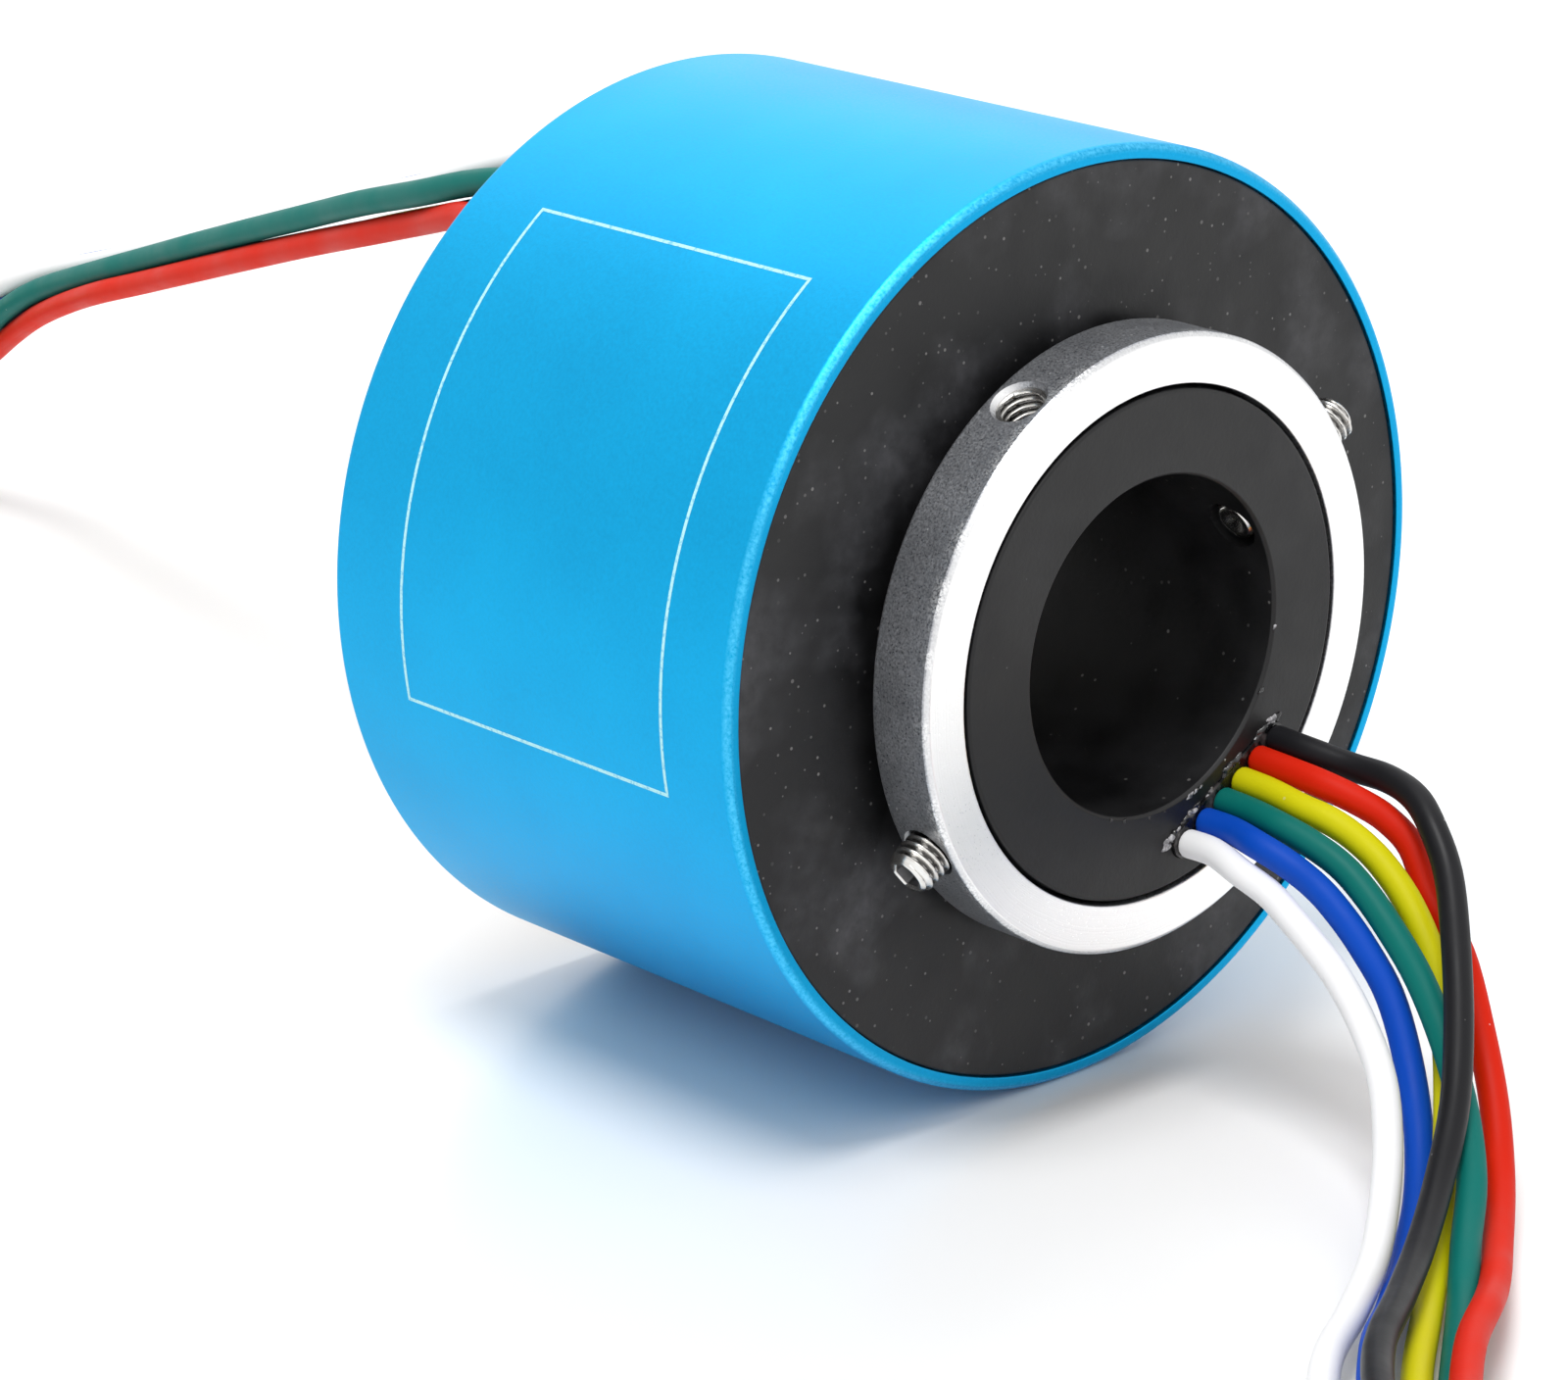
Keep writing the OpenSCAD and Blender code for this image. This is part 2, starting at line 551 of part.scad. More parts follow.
// Band round the coil with its small lock head on top
module lead_tie(centre, in_r, out_r, angle) {
  gap = 0.2;
  w = out_r - in_r + 2 * gap;
  h = coil_h + 2 * gap;
  color("black") translate([centre.x, centre.y, floor_z]) rotate([0, 0, angle])
    translate([in_r - gap, tie_w / 2, 0]) rotate([90, 0, 0]) union() {
      linear_extrude(tie_w) difference() {
        translate([-tie_t, 0]) square([w + 2 * tie_t, h - gap + 2 * tie_t]);
        translate([0, tie_t]) square([w, h - gap]);
      }
      translate([w - 4, h - gap + 2 * tie_t - 0.1, -0.5]) cube([3.6, 1.6, tie_w + 1]);
    }
}

// Stripped and tinned ends inside the coil, one above another
module lead_tips(centre, in_r, angle) {
  color("silver") for (k = [0 : layers - 1])
    translate([centre.x, centre.y, coil_base + lead_r + lead_step * k])
      rotate([0, 0, angle]) translate([in_r - 0.1, 0, 0])
        rotate([0, 0, 45]) rotate([-90, 0, 0]) cylinder(d = tip_d, h = tip_len, $fn = 24);
}

module rotor_lead(name) {
  i = search([name], NAMES)[0];
  color(name) swept(ROTOR_ROUTES[i], lead_r, 1);
}

module stator_lead(name) {
  i = search([name], NAMES)[0];
  color(name) swept(STATOR_ROUTES[i], lead_r, 2);
}

housing();
front_cover();
rear_cover();
outer_race(front_x0);  // front_bearing_outer_race
outer_race(rear_x0);  // rear_bearing_outer_race
brush_carrier();
brush(0);  // brush_1
brush(1);  // brush_2
brush(2);  // brush_3
brush(3);  // brush_4
brush(4);  // brush_5
brush(5);  // brush_6
stator_lead_potting();
stator_lead("black");  // stator_lead_black
stator_lead("red");  // stator_lead_red
stator_lead("yellow");  // stator_lead_yellow
stator_lead("green");  // stator_lead_green
stator_lead("blue");  // stator_lead_blue
stator_lead("white");  // stator_lead_white
lead_coil(STATOR_COIL, stator_coil_in, stator_coil_out);  // stator_lead_coil
lead_tie(STATOR_COIL, stator_coil_in, stator_coil_out, stator_tie_angle);  // stator_lead_tie
lead_tips(STATOR_COIL, stator_coil_in, stator_tip_angle);  // stator_lead_tips
balls(front_x0);  // front_bearing_balls
cage(front_x0);  // front_bearing_cage
balls(rear_x0);  // rear_bearing_balls
cage(rear_x0);  // rear_bearing_cage
rotor_sleeve();
clamp_collar();
set_screws();
contact_ring(0);  // contact_ring_1
contact_ring(1);  // contact_ring_2
contact_ring(2);  // contact_ring_3
contact_ring(3);  // contact_ring_4
contact_ring(4);  // contact_ring_5
contact_ring(5);  // contact_ring_6
ring_insulator(0);  // ring_insulator_1
ring_insulator(1);  // ring_insulator_2
ring_insulator(2);  // ring_insulator_3
ring_insulator(3);  // ring_insulator_4
ring_insulator(4);  // ring_insulator_5
ring_insulator(5);  // ring_insulator_6
ring_insulator(6);  // ring_insulator_7
inner_race(front_x0);  // front_bearing_inner_race
inner_race(rear_x0);  // rear_bearing_inner_race
retaining_ring();
rotor_lead_potting();
rotor_lead("black");  // rotor_lead_black
rotor_lead("red");  // rotor_lead_red
rotor_lead("yellow");  // rotor_lead_yellow
rotor_lead("green");  // rotor_lead_green
rotor_lead("blue");  // rotor_lead_blue
rotor_lead("white");  // rotor_lead_white
lead_coil(ROTOR_COIL, rotor_coil_in, rotor_coil_out);  // rotor_lead_coil
lead_tie(ROTOR_COIL, rotor_coil_in, rotor_coil_out, rotor_tie_angle);  // rotor_lead_tie
lead_tips(ROTOR_COIL, rotor_coil_in, rotor_tip_angle);  // rotor_lead_tips
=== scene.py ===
"""Looks of a through-bore slip ring: barrel, covers, clamp collar, set screws and flying leads."""
import json
import math
import random

import bmesh
import bpy
from mathutils import Matrix, Vector


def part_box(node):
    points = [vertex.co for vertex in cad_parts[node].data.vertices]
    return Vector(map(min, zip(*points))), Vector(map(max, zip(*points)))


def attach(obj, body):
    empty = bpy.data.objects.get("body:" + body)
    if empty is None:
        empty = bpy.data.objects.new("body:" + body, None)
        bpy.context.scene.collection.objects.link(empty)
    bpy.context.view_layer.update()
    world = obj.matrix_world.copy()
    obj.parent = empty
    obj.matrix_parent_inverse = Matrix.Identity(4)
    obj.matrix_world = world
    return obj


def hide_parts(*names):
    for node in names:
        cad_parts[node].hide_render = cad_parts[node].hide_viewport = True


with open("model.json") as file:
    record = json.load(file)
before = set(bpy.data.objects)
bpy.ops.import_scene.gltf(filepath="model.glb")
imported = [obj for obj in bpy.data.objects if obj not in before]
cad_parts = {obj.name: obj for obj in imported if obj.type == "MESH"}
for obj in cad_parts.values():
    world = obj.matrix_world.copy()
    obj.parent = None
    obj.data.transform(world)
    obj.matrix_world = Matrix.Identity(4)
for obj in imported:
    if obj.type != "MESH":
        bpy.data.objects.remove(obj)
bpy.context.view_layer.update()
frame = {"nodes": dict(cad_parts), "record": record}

# ---- sizes, in metres; +X runs along the shaft towards the collar ----

MM = 0.001
SIDES = 256                                # segments round every turned piece
HOLE_SIDES = 64                            # segments round every drilled hole

barrel_lo, barrel_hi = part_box("housing")
front_lo, front_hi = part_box("front_cover")
sleeve_lo, sleeve_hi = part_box("rotor_sleeve")
collar_lo, collar_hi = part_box("clamp_collar")
mounts = {m["name"]: m for m in frame["record"]["mounts"]}

BARREL_R = barrel_hi.z
BARREL_CHAMFER = 0.35 * MM
SEAT_DEPTH = 4 * MM
SEAT_R = BARREL_R - 0.9 * MM
INNER_R = BARREL_R - 2 * MM

BORE_R = mounts["shaft_bore"]["dims"]["r_mm"] * MM
SLEEVE_R = 15 * MM
SHOULDER_R = sleeve_hi.z
NOSE_X = sleeve_hi.x
COVER_LIP = 1 * MM                         # thickness of the cover round the sleeve's shoulder
COVER_STEP = 1.1 * MM                      # how far the cover's inner part is inside its rim
COVER_GAP = 0.4 * MM
POCKET_R = SLEEVE_R + 3.55 * MM            # the front bearing's pocket

COLLAR_IN_R = SLEEVE_R + 0.25 * MM
COLLAR_R = collar_hi.z
COLLAR_CHAMFER = 0.3 * MM
HOLE_MOUTH_R = COLLAR_R - 0.35 * MM        # where the tapped holes start to open out
HOLE_ANGLES = (30, 120, 210)
OPEN_HOLE_ANGLE = 120
SCREW_ANGLES = (30, 210)
SCREW_X = (collar_lo.x + collar_hi.x) / 2
SCREW_R = 1.5 * MM
SCREW_PITCH = 0.5 * MM
SCREW_ROOT = BORE_R + 0.15 * MM
SCREW_LEN = 10 * MM
SCREW_BEVEL = 0.42 * MM
SOCKET_APOTHEM = 0.75 * MM
SOCKET_DEPTH = 1.6 * MM

LABEL_X = (-28 * MM, -5.4 * MM)            # the outline printed on the barrel
LABEL_ANGLES = (127, 190.4)
LABEL_LINE = 0.22 * MM
LABEL_STEPS = 96

LEAD_D = 1.7 * MM
BLUNT_START = {0.0: 0.6, 0.1: 0.78, 0.3: 0.92, 0.6: 0.99}    # share of the first step: width
TIP_D = 1.1 * MM
TIP_LENGTH = 6 * MM
LEAD_NAMES = ("black", "red", "yellow", "green", "blue", "white")
ROW_R = BORE_R + 2 * MM                    # the straight row of leads in the sleeve's nose
ROW_STEP = LEAD_D + 0.04 * MM
ROW_ANGLE = math.radians(-57.6)
ROW_OUT = Vector((0, math.cos(ROW_ANGLE), math.sin(ROW_ANGLE)))
ROW_ALONG = Vector((0, -ROW_OUT.z, ROW_OUT.y))
COIL_PITCH = 1.86 * MM
COIL_STEPS = 40                            # points for each turn of a coil
COILS = {
    "rotor": {"centre": (77, -36), "radius": 13.6, "entry": 231.3, "turns": 3.2},
    "stator": {"centre": (-168, 4), "radius": 13.0, "entry": 90, "turns": 2.2},
}

FLOOR_Z = barrel_lo.z - 0.02 * MM
FLOOR_HALF = 1.5
CAMERA_PLACE = (0.19282, -0.202331, 0.090487)
CAMERA_AZIMUTH, CAMERA_ELEVATION = math.radians(47.199), math.radians(18.695)
LENS, SENSOR = 116.99, 36                  # in millimetres

# ---- the leads' routes, in millimetres, from where they leave to their coil ----

ROTOR_ROUTES = {
    "black": [
        (5.6, 10.1, -7.8), (8.3, 10.1, -7.9), (11.1, 10.7, -8.3), (13.9, 10.7, -8.3),
        (16.3, 10.3, -8.7), (18.4, 9.4, -9.7), (20.7, 8.2, -11.6), (23.4, 5.8, -14.2),
        (26.4, 2.7, -17.2), (29.4, -1, -20.3), (32.1, -5.4, -22.8), (35.2, -10.5, -23.9),
        (39, -16.6, -23.6), (43.4, -23.3, -22.4), (48.9, -29.7, -21.1), (55.2, -35.7, -19.5),
        (61.8, -41.2, -17.9), (68.5, -46.6, -17.2)],
    "red": [
        (5.6, 8.6, -8.7), (8.1, 8.6, -8.8), (10.9, 8.5, -8.9), (13.1, 9.1, -9.5),
        (14.8, 9.7, -10.3), (16.6, 9.9, -11.6), (18.5, 9.3, -13.8), (21.5, 8.6, -16.3),
        (24.4, 7, -19.4), (27.5, 4.8, -22.6), (30.8, 1.5, -25.2), (34.6, -3.2, -26.1),
        (39.6, -9.7, -25.1), (44.5, -17.4, -23.7), (50.5, -25.2, -22.4), (56.7, -32.6, -20.9),
        (62.7, -39.7, -19.7), (68.5, -46.6, -19)],
    "yellow": [
        (5.6, 7.2, -9.7), (8, 7.2, -9.8), (10.8, 6.9, -10), (12.8, 7.1, -10.3),
        (14.6, 7.5, -11.1), (16.5, 7.6, -12.2), (18.8, 7.3, -13.9), (21.3, 6.5, -16.4),
        (23.9, 4.7, -19.4), (26.6, 1.9, -22.2), (29.8, -2, -24.3), (33.3, -6.7, -25.8),
        (37.6, -12.6, -26.3), (42.7, -19.4, -25.5), (48.8, -26.7, -24.8), (55.3, -33.8, -24.1),
        (61.9, -40.5, -23.3), (68.5, -46.6, -22.7)],
    "green": [
        (5.6, 5.7, -10.6), (7.9, 5.7, -10.7), (10.5, 5.2, -10.7), (12.7, 5.4, -11.2),
        (14.7, 5.8, -12.1), (16.6, 5.7, -13.1), (19, 5.3, -14.6), (22.1, 4.4, -16.6),
        (25.5, 2.8, -19.1), (28.9, 0.5, -21.5), (32.2, -2.7, -23.4), (35.3, -6.8, -24.9),
        (39.2, -11.7, -25.9), (43.9, -17.8, -25.6), (49.6, -25, -24.3), (55.9, -32.6, -22.7),
        (62.1, -39.9, -21.4), (68.5, -46.6, -20.9)],
    "blue": [
        (5.6, 4.2, -11.5), (7.9, 4.2, -11.5), (10.5, 3.5, -11.5), (12.6, 3.7, -12.1),
        (14.3, 4.2, -13.1), (16, 4.3, -14.2), (18.1, 4.2, -15.8), (20.5, 3.8, -17.9),
        (23.1, 2.5, -20.7), (25.9, 0.3, -23.6), (28.9, -3.2, -25.8), (32.1, -8, -26.8),
        (36, -13.6, -26.2), (40.6, -20.3, -24.7), (47.1, -27.9, -24.8), (54.4, -35, -25.2),
        (61.6, -41.2, -25.1), (68.5, -46.6, -24.6)],
    "white": [
        (5.6, 2.8, -12.5), (7.8, 2.8, -12.5), (10.1, 2.5, -13), (12.2, 2.7, -13.8),
        (13.9, 2.6, -14.7), (15.6, 2.4, -15.6), (17.9, 2, -16.8), (20.9, 0.9, -18.5),
        (24.2, -1, -20.5), (27.3, -4, -22.5), (30.1, -7.5, -24.3), (32.7, -11.3, -25.4),
        (35.5, -16.2, -25.8), (39.2, -22.5, -25.5), (45.4, -29.3, -26.1), (53.2, -35.6, -26.9),
        (61, -41.4, -27.2), (68.5, -46.6, -26.4)],
}

STATOR_ROUTES = {
    "black": [
        (-34.4, -8.9, 19), (-39.2, -8.9, 19), (-43.2, -7.2, 18), (-47.6, -5.3, 17),
        (-54, -3.3, 15.1), (-62.3, -1.3, 12.6), (-71.7, 1.1, 9.8), (-81.3, 3.7, 6.9),
        (-91.5, 6.3, 3.7), (-102.2, 9.1, 0.3), (-113.5, 12.2, -3.1), (-124.3, 15.2, -6.5),
        (-132.8, 18, -10.1), (-139.8, 19.9, -14), (-145.5, 20.1, -17.2), (-150.9, 19.3, -20),
        (-156.4, 18.4, -22.4), (-162, 17.7, -24.1), (-168, 17, -24.6)],
    "red": [
        (-34.4, -10.5, 18.1), (-38.4, -10.5, 18.1), (-41.8, -9.9, 17.7), (-46.2, -7.9, 17.4),
        (-52.7, -5.6, 15.5), (-61.3, -3.4, 12.9), (-70.6, -1, 10.1), (-80.2, 1.5, 7.1),
        (-90.3, 4.1, 3.9), (-101, 6.9, 0.5), (-112.3, 9.8, -3.1), (-122.7, 13, -6.9),
        (-130.9, 16, -10.4), (-137.9, 17.8, -14.2), (-143.8, 18.2, -17.9), (-149.6, 17.9, -21.4),
        (-155.7, 17.6, -24.5), (-161.9, 17.2, -26.6), (-168, 17, -26.4)],
    "yellow": [
        (-34.4, -1.8, 20.9), (-39.5, -1.8, 20.9), (-43.8, -2.3, 18.8), (-48.3, -2.2, 16.6),
        (-55, -1.1, 14.8), (-63.5, 0.9, 12.3), (-72.8, 3.3, 9.4), (-82.4, 5.9, 6.5),
        (-92.6, 8.4, 3.4), (-103.4, 11.3, 0.1), (-114.8, 14.5, -3.4), (-125.1, 17.4, -6.6),
        (-132.6, 19.4, -8.4), (-138.6, 19.6, -9.4), (-144.2, 19, -11.3), (-150, 18.5, -13.5),
        (-155.8, 17.8, -15.1), (-161.7, 17.2, -16.1), (-168, 17, -17.2)],
    "green": [
        (-34.4, -7.2, 19.7), (-38.2, -7.2, 19.7), (-41.6, -7.1, 20.1), (-46.2, -6.9, 19.3),
        (-53.4, -5.8, 17.2), (-62.1, -3.5, 14.7), (-71.3, -0.9, 11.8), (-80.8, 1.8, 8.8),
        (-90.8, 4.6, 5.6), (-101.5, 7.6, 2.1), (-112.8, 10.6, -1.6), (-123.1, 13.1, -5.1),
        (-130.4, 15, -8.2), (-136.2, 16.2, -11.5), (-142, 16.6, -14.8), (-148.4, 16.8, -17.8),
        (-154.9, 16.9, -20.5), (-161.4, 16.8, -22.3), (-168, 17, -22.7)],
    "blue": [
        (-34.4, -5.4, 20.2), (-39, -5.4, 20.2), (-43.5, -4.8, 18.8), (-48.8, -3.3, 18.2),
        (-55.8, -1.3, 16.8), (-64.3, 1, 14.3), (-73.5, 3.5, 11.4), (-83, 6.2, 8.3),
        (-93.1, 9, 5.1), (-103.9, 12, 1.7), (-115.5, 14.8, -1.7), (-126, 16.9, -4.9),
        (-133.1, 17.7, -8), (-138.2, 18.1, -11.3), (-143.6, 18.3, -14.1), (-149.6, 18.1, -16.6),
        (-155.6, 17.6, -18.7), (-161.6, 17.1, -20.2), (-168, 17, -20.9)],
    "white": [
        (-34.4, -3.6, 20.6), (-38.7, -3.6, 20.6), (-42.8, -4.1, 21.1), (-47.5, -5, 19.7),
        (-54.6, -3.7, 17.2), (-63.2, -1.3, 14.6), (-72.4, 1.3, 11.7), (-81.9, 4, 8.6),
        (-92, 6.8, 5.4), (-102.9, 9.8, 2.1), (-114.4, 12.7, -1.4), (-124.7, 14.9, -4.4),
        (-131.7, 15.8, -6.7), (-136.8, 16.3, -9), (-142.4, 16.8, -11.7), (-148.6, 17, -14.4),
        (-155.1, 17.1, -16.7), (-161.7, 17.2, -18.4), (-168, 17, -19)],
}

# ---- meshes ----

def add_object(name, data):
    """A new object in the scene."""
    obj = bpy.data.objects.new(name, data)
    bpy.context.scene.collection.objects.link(obj)
    return obj


def add_mesh(name, verts, faces):
    """A new mesh object in the scene."""
    mesh = bpy.data.meshes.new(name)
    mesh.from_pydata([tuple(v) for v in verts], [], faces)
    return add_object(name, mesh)


def claim(obj, finish, body, replaced):
    """Gives an object its finish, body and slot, and the CAD nodes that it stands for."""
    obj.data.materials.append(FINISHES[finish])
    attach(obj, body)
    if replaced:
        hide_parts(*replaced)


def piece(name, verts, faces, finish, body, replaced=()):
    """A mesh that rides on a body and stands for the CAD nodes named in replaced."""
    obj = add_mesh(name, verts, faces)
    claim(obj, finish, body, replaced)
    return obj


def face_outward(obj):
    """Turns every face of a closed mesh to face outward."""
    bm = bmesh.new()
    bm.from_mesh(obj.data)
    bmesh.ops.recalc_face_normals(bm, faces=bm.faces)
    bm.to_mesh(obj.data)
    bm.free()
    return obj


def smooth(obj, angle=35):
    """Smooth shading with sharp edges above an angle, and flat faces kept flat."""
    face_outward(obj)
    obj.data.shade_smooth()
    obj.data.set_sharp_from_angle(angle=math.radians(angle))
    weighted = obj.modifiers.new("weighted_normals", "WEIGHTED_NORMAL")
    weighted.keep_sharp = True
    return obj


def settle(obj):
    """Writes the result of an object's modifiers into its mesh."""
    graph = bpy.context.evaluated_depsgraph_get()
    mesh = bpy.data.meshes.new_from_object(obj.evaluated_get(graph))
    obj.modifiers.clear()
    obj.data = mesh
    return obj


def on_circle(radius, k, sides):
    """The k-th of so many evenly spaced points round a circle."""
    angle = 2 * math.pi * k / sides
    return radius * math.cos(angle), radius * math.sin(angle)


def loop_faces(rings, sides):
    """Faces between neighbouring rings of points, with the last ring joined to the first."""
    faces = []
    for j in range(rings):
        a, b = j * sides, (j + 1) % rings * sides
        faces += [(a + k, a + (k + 1) % sides, b + (k + 1) % sides, b + k) for k in range(sides)]
    return faces


def stack_faces(rings, sides):
    """Faces between neighbouring rings of points, with the first and the last ring closed."""
    faces = loop_faces(rings, sides)[:-sides]
    faces.append(tuple(range(sides - 1, -1, -1)))
    faces.append(tuple(range((rings - 1) * sides, rings * sides)))
    return faces


def ring_verts(rings, matrix):
    """Points of rings round +Z, each a list of (radius, height), placed by a matrix."""
    return [matrix @ Vector((*on_circle(radius, k, len(ring)), height))
            for ring in rings for k, (radius, height) in enumerate(ring)]


def fillet(profile, radii, steps=4):
    """A closed profile with its corners rounded, one radius for each point."""
    out = []
    for i, (corner, radius) in enumerate(zip(profile, radii)):
        p = Vector(corner)
        before = Vector(profile[i - 1]) - p
        after = Vector(profile[(i + 1) % len(profile)]) - p
        reach = min(radius, before.length * 0.45, after.length * 0.45)
        if reach <= 0:
            out.append(p)
            continue
        a = p + before.normalized() * reach
        b = p + after.normalized() * reach
        for k in range(steps + 1):
            t = k / steps
            out.append(a * (1 - t) ** 2 + p * 2 * t * (1 - t) + b * t * t)
    return out


def turned(name, profile, radii, finish, body, replaced):
    """A closed (x, radius) profile with rounded corners, turned round the shaft axis."""
    profile = fillet(profile, radii)
    verts = [(x, *on_circle(r, k, SIDES)) for k in range(SIDES) for x, r in profile]
    return face_outward(piece(name, verts, loop_faces(SIDES, len(profile)), finish, body,
                              replaced))


def radial_matrix(angle, x):
    """Places something modelled along +Z so that it points out from the shaft at an angle."""
    turn = Matrix.Rotation(math.radians(angle), 4, "X")
    return Matrix.Translation((x, 0, 0)) @ turn @ Matrix.Rotation(math.radians(-90), 4, "X")


def hole_cutter(profile, angle):
    """A turned solid along a tapped hole, from (radius, height) points."""
    rings = [[point] * HOLE_SIDES for point in profile]
    return add_mesh("cutter", ring_verts(rings, radial_matrix(angle, SCREW_X)),
                    stack_faces(len(rings), HOLE_SIDES))


def row_cutter(x0, x1):
    """The straight slot with round ends that the rotor's leads come out of."""
    half, reach = LEAD_D / 2 + 0.15 * MM, ROW_STEP * (len(LEAD_NAMES) - 1) / 2
    end_steps = 16
    outline = []
    for side in (1, -1):
        for k in range(end_steps + 1):
            turn = math.pi * k / end_steps
            outline.append(ROW_OUT * ROW_R + side * (
                ROW_ALONG * (reach + half * math.sin(turn)) + ROW_OUT * half * math.cos(turn)))
    verts = [(x, p.y, p.z) for x in (x0, x1) for p in outline]
    return add_mesh("cutter", verts, stack_faces(2, len(outline)))


def cut(obj, cutters):
    """Subtracts closed pieces from a mesh, and removes them."""
    for tool in cutters:
        cut_by = obj.modifiers.new("cut", "BOOLEAN")
        cut_by.operation = "DIFFERENCE"
        cut_by.solver = "EXACT"
        cut_by.object = face_outward(tool)
    settle(obj)
    for tool in cutters:
        bpy.data.objects.remove(tool)
    return obj


def thread_wave(turns):
    """Height of a 60 degree thread, from 0 at its flat root to 1 at its flat crest."""
    root_flat, flank = 0.12, 0.7
    ridge = abs(2 * (turns % 1) - 1)
    return min(1, max(0, (ridge - root_flat) / flank))


def tube(path, radius, sides):
    """Vertices and faces of a round tube along a list of points, closed at both ends."""
    verts = []
    normal = None
    for i, p in enumerate(path):
        ahead = (path[min(i + 1, len(path) - 1)] - path[max(i - 1, 0)]).normalized()
        if normal is None:
            normal = ahead.orthogonal()
        normal = (normal - ahead * normal.dot(ahead)).normalized()
        side = ahead.cross(normal)
        for k in range(sides):
            u, v = on_circle(1, k, sides)
            verts.append(p + radius * (u * normal + v * side))
    return verts, stack_faces(len(path), sides)


# ---- shader building blocks ----

def put(tree, kind, inputs=None, **settings):
    """Adds a node, sets its settings, and sets or links its inputs by name or number."""
    node = tree.nodes.new(kind)
    for key, value in settings.items():
        setattr(node, key, value)
    for key, value in (inputs or {}).items():
        socket = node.inputs[key]
        if isinstance(value, bpy.types.NodeSocket):
            tree.links.new(value, socket)
        else:
            socket.default_value = value
    return node


def maths(tree, operation, a, b=0.0, clamp=False):
    node = put(tree, "ShaderNodeMath", {0: a, 1: b}, operation=operation, use_clamp=clamp)
    return node.outputs[0]


def hypotenuse(tree, a, b):
    a2, b2 = maths(tree, "MULTIPLY", a, a), maths(tree, "MULTIPLY", b, b)
    return maths(tree, "SQRT", maths(tree, "ADD", a2, b2))


def blend_colour(tree, mask, a, b):
    node = put(tree, "ShaderNodeMix", {0: mask, 6: a, 7: b}, data_type="RGBA")
    return node.outputs[2]


def ramp(tree, value, low, high, to_low=0.0, to_high=1.0):
    """Maps value from low..high to to_low..to_high, held at both ends."""
    node = put(tree, "ShaderNodeMapRange", {
        "Value": value, "From Min": low, "From Max": high, "To Min": to_low, "To Max": to_high})
    return node.outputs[0]


def spread(tree, noise, to_low=0.0, to_high=1.0):
    """Stretches a noise, which mostly lies between 0.3 and 0.7, to to_low..to_high."""
    return ramp(tree, noise, 0.3, 0.7, to_low, to_high)


def group(name, inputs, outputs):
    """A node group with named number inputs; returns it with its input sockets by name."""
    tree = bpy.data.node_groups.new(name, "ShaderNodeTree")
    for label, value in inputs.items():
        socket = tree.interface.new_socket(label, in_out="INPUT", socket_type="NodeSocketFloat")
        socket.default_value = value
    for label in outputs:
        tree.interface.new_socket(label, in_out="OUTPUT", socket_type="NodeSocketFloat")
    entry = tree.nodes.new("NodeGroupInput")
    leave = tree.nodes.new("NodeGroupOutput")
    return tree, {label: entry.outputs[label] for label in inputs}, leave


def place_mm(tree):
    """A point of the piece in its own frame, in millimetres."""
    coords = put(tree, "ShaderNodeTexCoord")
    scaled = put(tree, "ShaderNodeVectorMath", {0: coords.outputs["Object"], "Scale": 1 / MM},
                 operation="SCALE")
    return scaled.outputs[0]


def length_and_radius(tree, point):
    """How far along the shaft a point is, and how far from its axis."""
    part = put(tree, "ShaderNodeSeparateXYZ", {0: point}).outputs
    return part["X"], hypotenuse(tree, part["Y"], part["Z"])


def noise_mm(tree, point, scale, detail=3.0, rough=0.55):
    node = put(tree, "ShaderNodeTexNoise", {
        "Vector": point, "Scale": scale, "Detail": detail, "Roughness": rough})
    return node.outputs["Fac"]


def make_grain():
    """Fine blasted or moulded grain with a slower unevenness behind it."""
    tree, given, leave = group("surface_grain", {"Fineness": 4.0, "Cloud Size": 6.0},
                               ("Grain", "Cloud"))
    point = place_mm(tree)
    fine = noise_mm(tree, point, given["Fineness"], 4.0, 0.6)
    cloud_scale = maths(tree, "DIVIDE", 1.0, given["Cloud Size"])
    cloud = noise_mm(tree, point, cloud_scale, 3.0, 0.5)
    tree.links.new(fine, leave.inputs["Grain"])
    tree.links.new(cloud, leave.inputs["Cloud"])
    return tree


def make_specks():
    """Small pale specks of dust in a share of the cells, of uneven size and strength."""
    tree, given, leave = group("dust_specks", {"Spacing": 1.0, "Size": 0.1, "Amount": 0.3},
                               ("Speck",))
    soft_edge = 0.03
    point = place_mm(tree)
    scale = maths(tree, "DIVIDE", 1.0, given["Spacing"])
    cells = put(tree, "ShaderNodeTexVoronoi", {"Vector": point, "Scale": scale, "Randomness": 1.0})
    far = maths(tree, "MULTIPLY", cells.outputs["Distance"], given["Spacing"])
    own = put(tree, "ShaderNodeSeparateColor", {"Color": cells.outputs["Color"]}).outputs
    size = maths(tree, "MULTIPLY", own["Green"], given["Size"])
    inside = ramp(tree, maths(tree, "SUBTRACT", size, far), 0.0, soft_edge)
    kept = maths(tree, "LESS_THAN", own["Red"], given["Amount"])
    strength = maths(tree, "MULTIPLY", kept, own["Blue"])
    tree.links.new(maths(tree, "MULTIPLY", inside, strength), leave.inputs["Speck"])
    return tree


